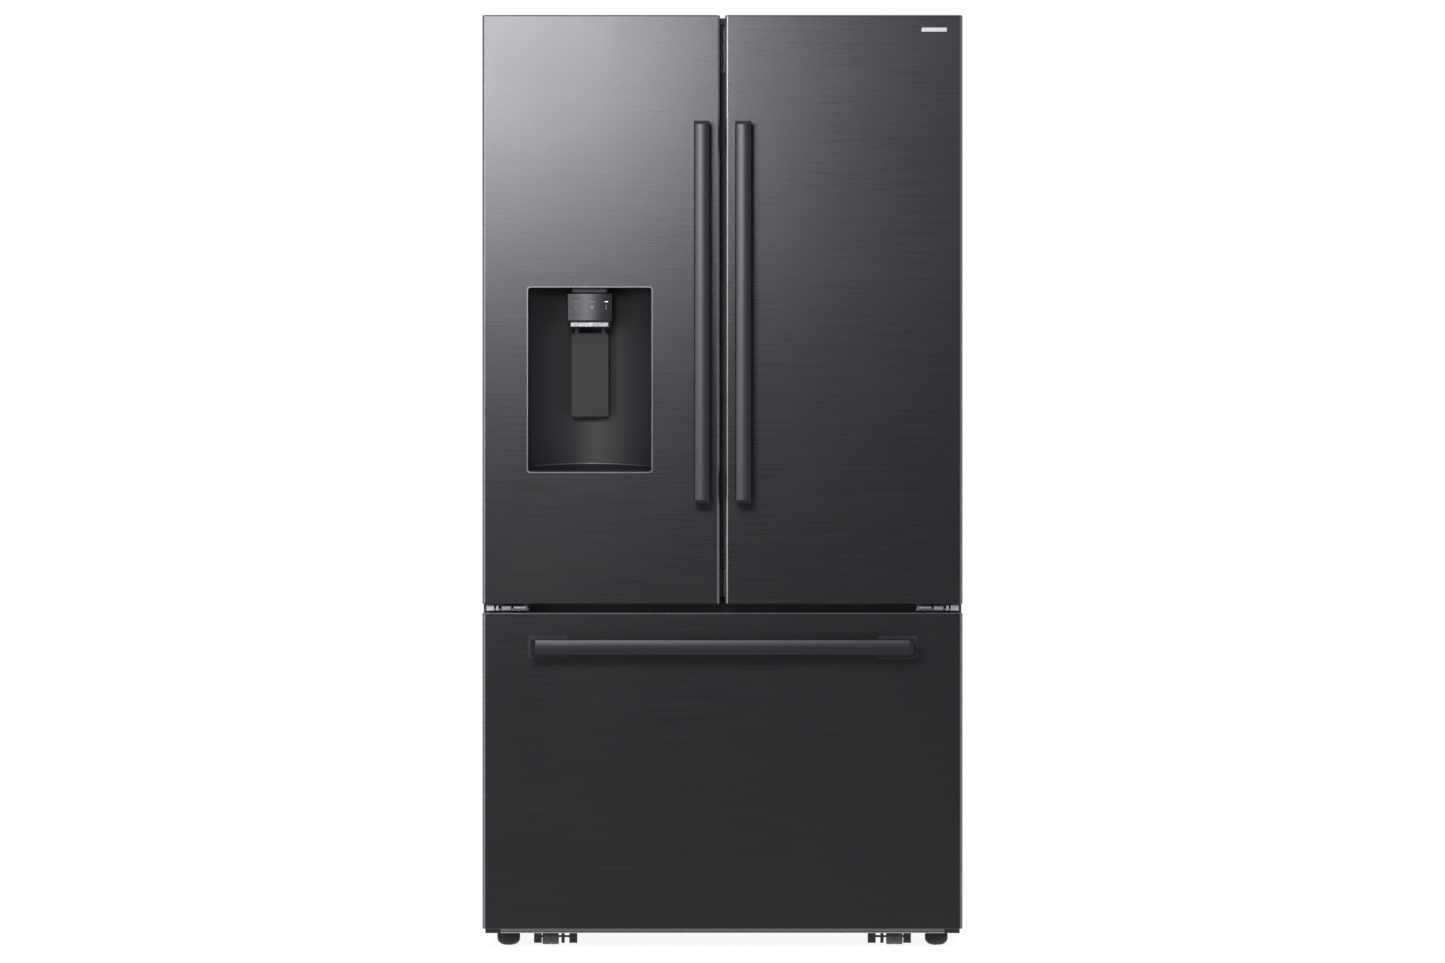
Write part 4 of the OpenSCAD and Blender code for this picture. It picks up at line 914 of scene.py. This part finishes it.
def make_cabinet():
    x, y, z = CASE
    wrap = block(x, y, z)
    bmesh.ops.delete(wrap, geom=[f for f in wrap.faces if abs(f.normal.y) > 0.9], context="FACES")
    bmesh.ops.bisect_plane(wrap, geom=wrap.verts[:] + wrap.edges[:] + wrap.faces[:],
                           plane_co=(0, 229, 0), plane_no=(0, 1, 0))
    gone = [f for f in wrap.faces if f.normal.z < -0.9 and f.calc_center_median().y > 229]
    bmesh.ops.delete(wrap, geom=gone, context="FACES")
    long_edges = [e for e in wrap.edges if len(e.link_faces) == 2 and e.calc_face_angle() > 1]
    round_edges(wrap, long_edges, 4.0, 5)
    wrap = sheet_metal(wrap)
    flange = plate("y", (grow(x, -1), grow(z, -1), 3), [(grow(x, -36), (z[0] + 1.5, z[1] - 36), 4)],
                   (y[0], y[0] + 1))
    piece("cabinet_wrap", [(wrap, "cabinet_paint"), (flange, "cabinet_paint")], "cabinet",
          ["cabinet_shell"])
    x, y, z = span("back_panel")
    holds = [((-380, -250), (1600, 1640), 18), ((250, 380), (1600, 1640), 18)]
    sheet = plate("y", (grow(x, -0.5), grow(z, -0.5), 2), holds, y)
    parts = [(sheet, "galvanised_steel")]
    for reach in ((-330, -20), (20, 330)):
        for tall in ((330, 900), (980, 1540)):
            rib = plate("y", (reach, tall, 16), [(grow(reach, -12), grow(tall, -12), 9)],
                        (y[1] - 0.5, y[1] + 3.5), 1.8)
            parts.append((rib, "galvanised_steel"))
    for at in (-315, 315):
        reach, tall = (at - 65, at + 65), (1600, 1640)
        rim = plate("y", (grow(reach, 5), grow(tall, 5), 22), [(grow(reach, -1), grow(tall, -1), 17)],
                    (y[0] + 0.2, y[1] + 1.6), 0.6)
        floor = slab("y", reach, (y[0] + 0.1, y[0] + 0.5), tall, 18)
        parts += [(rim, "black_plastic"), (floor, "black_plastic")]
    piece("back_cover_sheet", parts, "cabinet", ["back_panel"])
    copy_nodes("cabinet")


# ---------- insides ----------

def make_lights():
    """Frosted light panels: one in the refrigerator's ceiling, one down each side wall, one in the freezer."""
    panels = (
        block((70, 250), (-180, -60), (1692.6, 1695.8), 0.8),
        block((406.6, 409.7), (-240, -215), (940, 1640), 0.8),
        block((-409.7, -406.6), (-240, -215), (940, 1380), 0.8),
        block((-90, 90), (-250, -215), (596.6, 599.8), 0.8),
    )
    piece("inside_light_panels", [(panel, "light_panel") for panel in panels], "cabinet")


# ---------- stage ----------

def hang_light(name, size, power, place, turn):
    """A rectangular light that the camera doesn't see, aimed at the fronts and turned sideways."""
    data = bpy.data.lights.new(name, "AREA")
    data.shape = "RECTANGLE"
    data.size, data.size_y = size
    data.energy = power
    light = bpy.data.objects.new(name, data)
    light.location = place
    light.rotation_euler = (math.pi / 2, 0, turn)
    light.visible_camera = False
    bpy.context.scene.collection.objects.link(light)


def make_stage(stage):
    scene = bpy.context.scene
    scene.view_settings.view_transform = "Standard"
    camera_data = bpy.data.cameras.new("camera")
    camera = bpy.data.objects.new("camera", camera_data)
    scene.collection.objects.link(camera)
    camera.location = (0, FRONT_Y * MM - stage.camera_distance, stage.camera_height)
    camera.rotation_euler = (math.pi / 2, 0, 0)
    camera_data.sensor_width = 36
    seen_width = 2.7325
    camera_data.lens = 36 * stage.camera_distance / seen_width
    camera_data.clip_end = 200
    scene.camera = camera

    floor_shape = bmesh.new()
    bmesh.ops.create_grid(floor_shape, x_segments=2, y_segments=2, size=6.0)
    floor_mesh = bpy.data.meshes.new("floor")
    floor_shape.to_mesh(floor_mesh)
    floor_shape.free()
    floor = bpy.data.objects.new("floor", floor_mesh)
    scene.collection.objects.link(floor)
    pale = bpy.data.materials.new("pale_floor")
    pale.use_nodes = True
    shader = pale.node_tree.nodes["Principled BSDF"]
    shader.inputs["Base Color"].default_value = (0.14, 0.14, 0.14, 1)
    shader.inputs["Roughness"].default_value = 0.9
    shader.inputs["Specular IOR Level"].default_value = 0.0
    shader.inputs["Emission Color"].default_value = (1, 1, 1, 1)
    shader.inputs["Emission Strength"].default_value = 0.92
    floor_mesh.materials.append(pale)

    hang_light("softbox", (0.81, 0.81), stage.softbox_power, (-0.57, -3.6, 1.936), 0.0)
    hang_light("left_side_light", (1.2, 2.4), stage.side_light_power, (-2.3, -4.0, 1.2), -0.55)
    hang_light("right_side_light", (0.5, 2.4), stage.side_light_power * 0.3, (4.2, -1.5, 1.2), 1.2)

    world = bpy.data.worlds.new("studio")
    world.use_nodes = True
    scene.world = world
    nodes, links = world.node_tree.nodes, world.node_tree.links
    nodes.clear()
    way = nodes.new("ShaderNodeTexCoord")
    parts = nodes.new("ShaderNodeSeparateXYZ")
    depth = nodes.new("ShaderNodeMapRange")
    depth.inputs["From Min"].default_value = -1.0
    depth.inputs["To Min"].default_value = 0.36
    depth.inputs["To Max"].default_value = 0.95
    height = nodes.new("ShaderNodeMapRange")
    height.inputs["From Min"].default_value = 0.25
    height.inputs["To Max"].default_value = 0.55
    total = nodes.new("ShaderNodeMath")
    ray = nodes.new("ShaderNodeLightPath")
    lit = nodes.new("ShaderNodeBackground")
    lit.inputs["Color"].default_value = (0.97, 1.0, 1.115, 1)
    plain = nodes.new("ShaderNodeBackground")
    plain.inputs["Color"].default_value = (1, 1, 1, 1)
    choose = nodes.new("ShaderNodeMixShader")
    out = nodes.new("ShaderNodeOutputWorld")
    links.new(way.outputs["Generated"], parts.inputs[0])
    links.new(parts.outputs["Y"], depth.inputs["Value"])
    links.new(parts.outputs["Z"], height.inputs["Value"])
    links.new(depth.outputs["Result"], total.inputs[0])
    links.new(height.outputs["Result"], total.inputs[1])
    links.new(total.outputs["Value"], lit.inputs["Strength"])
    links.new(ray.outputs["Is Camera Ray"], choose.inputs["Fac"])
    links.new(lit.outputs["Background"], choose.inputs[1])
    links.new(plain.outputs["Background"], choose.inputs[2])
    links.new(choose.outputs["Shader"], out.inputs["Surface"])


# ---------- operators ----------

class REFRIGERATOR_OT_finishes(bpy.types.Operator):
    """Make the steel, paint, plastic, glass and rubber finishes"""
    bl_idname = "refrigerator.finishes"
    bl_label = "Finishes"

    def execute(self, context):
        build_finishes(context.scene.refrigerator_look)
        return {"FINISHED"}


class REFRIGERATOR_OT_stage(bpy.types.Operator):
    """Set up the camera, the floor and the light"""
    bl_idname = "refrigerator.stage"
    bl_label = "Stage"

    def execute(self, context):
        make_stage(context.scene.refrigerator_stage)
        return {"FINISHED"}


class REFRIGERATOR_OT_fronts(bpy.types.Operator):
    """Fold the three steel fronts and fit their end caps"""
    bl_idname = "refrigerator.fronts"
    bl_label = "Door and drawer fronts"

    def execute(self, context):
        make_fronts(context.scene.refrigerator_sizes)
        make_badge()
        return {"FINISHED"}


class REFRIGERATOR_OT_handles(bpy.types.Operator):
    """Make the three crowned bar handles on their posts"""
    bl_idname = "refrigerator.handles"
    bl_label = "Handles"

    def execute(self, context):
        make_handles(context.scene.refrigerator_sizes)
        return {"FINISHED"}


class REFRIGERATOR_OT_dispenser(bpy.types.Operator):
    """Make the dispenser's recess, control head and paddle"""
    bl_idname = "refrigerator.dispenser"
    bl_label = "Dispenser"

    def execute(self, context):
        make_dispenser(context.scene.refrigerator_sizes)
        return {"FINISHED"}


class REFRIGERATOR_OT_seals(bpy.types.Operator):
    """Run the bellows gaskets and the lips between the doors"""
    bl_idname = "refrigerator.seals"
    bl_label = "Seals"

    def execute(self, context):
        make_seals()
        return {"FINISHED"}


class REFRIGERATOR_OT_hinges(bpy.types.Operator):
    """Make the top and middle hinges and the cover over them"""
    bl_idname = "refrigerator.hinges"
    bl_label = "Hinges"

    def execute(self, context):
        make_hinges()
        return {"FINISHED"}


class REFRIGERATOR_OT_base(bpy.types.Operator):
    """Make the base strip, frame, feet and rollers"""
    bl_idname = "refrigerator.base"
    bl_label = "Base"

    def execute(self, context):
        make_base()
        return {"FINISHED"}


class REFRIGERATOR_OT_cabinet(bpy.types.Operator):
    """Make the painted wrap, the back and its covers"""
    bl_idname = "refrigerator.cabinet"
    bl_label = "Cabinet"

    def execute(self, context):
        make_cabinet()
        return {"FINISHED"}


class REFRIGERATOR_OT_insides(bpy.types.Operator):
    """Make the liners, shelves, rails, foam and machinery"""
    bl_idname = "refrigerator.insides"
    bl_label = "Insides"

    def execute(self, context):
        copy_nodes("insides")
        make_lights()
        return {"FINISHED"}


class REFRIGERATOR_OT_bins(bpy.types.Operator):
    """Make the clear bins, crispers, basket and tray"""
    bl_idname = "refrigerator.bins"
    bl_label = "Bins and drawers"

    def execute(self, context):
        copy_nodes("bins")
        return {"FINISHED"}


STEPS = (
    REFRIGERATOR_OT_finishes, REFRIGERATOR_OT_stage, REFRIGERATOR_OT_fronts, REFRIGERATOR_OT_handles,
    REFRIGERATOR_OT_dispenser, REFRIGERATOR_OT_seals, REFRIGERATOR_OT_hinges, REFRIGERATOR_OT_base,
    REFRIGERATOR_OT_cabinet, REFRIGERATOR_OT_insides, REFRIGERATOR_OT_bins,
)
GROUPS = {
    "refrigerator_look": RefrigeratorLook,
    "refrigerator_sizes": RefrigeratorSizes,
    "refrigerator_stage": RefrigeratorStage,
}


class REFRIGERATOR_PT_panel(bpy.types.Panel):
    """Lists the refrigerator's values and the steps that build it"""
    bl_label = "Refrigerator"
    bl_idname = "REFRIGERATOR_PT_panel"
    bl_space_type = "VIEW_3D"
    bl_region_type = "UI"
    bl_category = "Refrigerator"

    def draw(self, context):
        for name, group in GROUPS.items():
            for value in group.__annotations__:
                self.layout.prop(getattr(context.scene, name), value)
        for step in STEPS:
            self.layout.operator(step.bl_idname)


def register():
    for group in (*GROUPS.values(), *STEPS, REFRIGERATOR_PT_panel):
        bpy.utils.register_class(group)
    for name, group in GROUPS.items():
        setattr(bpy.types.Scene, name, bpy.props.PointerProperty(type=group))


def unregister():
    for name in GROUPS:
        delattr(bpy.types.Scene, name)
    for group in reversed((*GROUPS.values(), *STEPS, REFRIGERATOR_PT_panel)):
        bpy.utils.unregister_class(group)


def main():
    register()
    for step in STEPS:
        group, action = step.bl_idname.split(".")
        getattr(getattr(bpy.ops, group), action)()


if __name__ == "__main__":
    main()
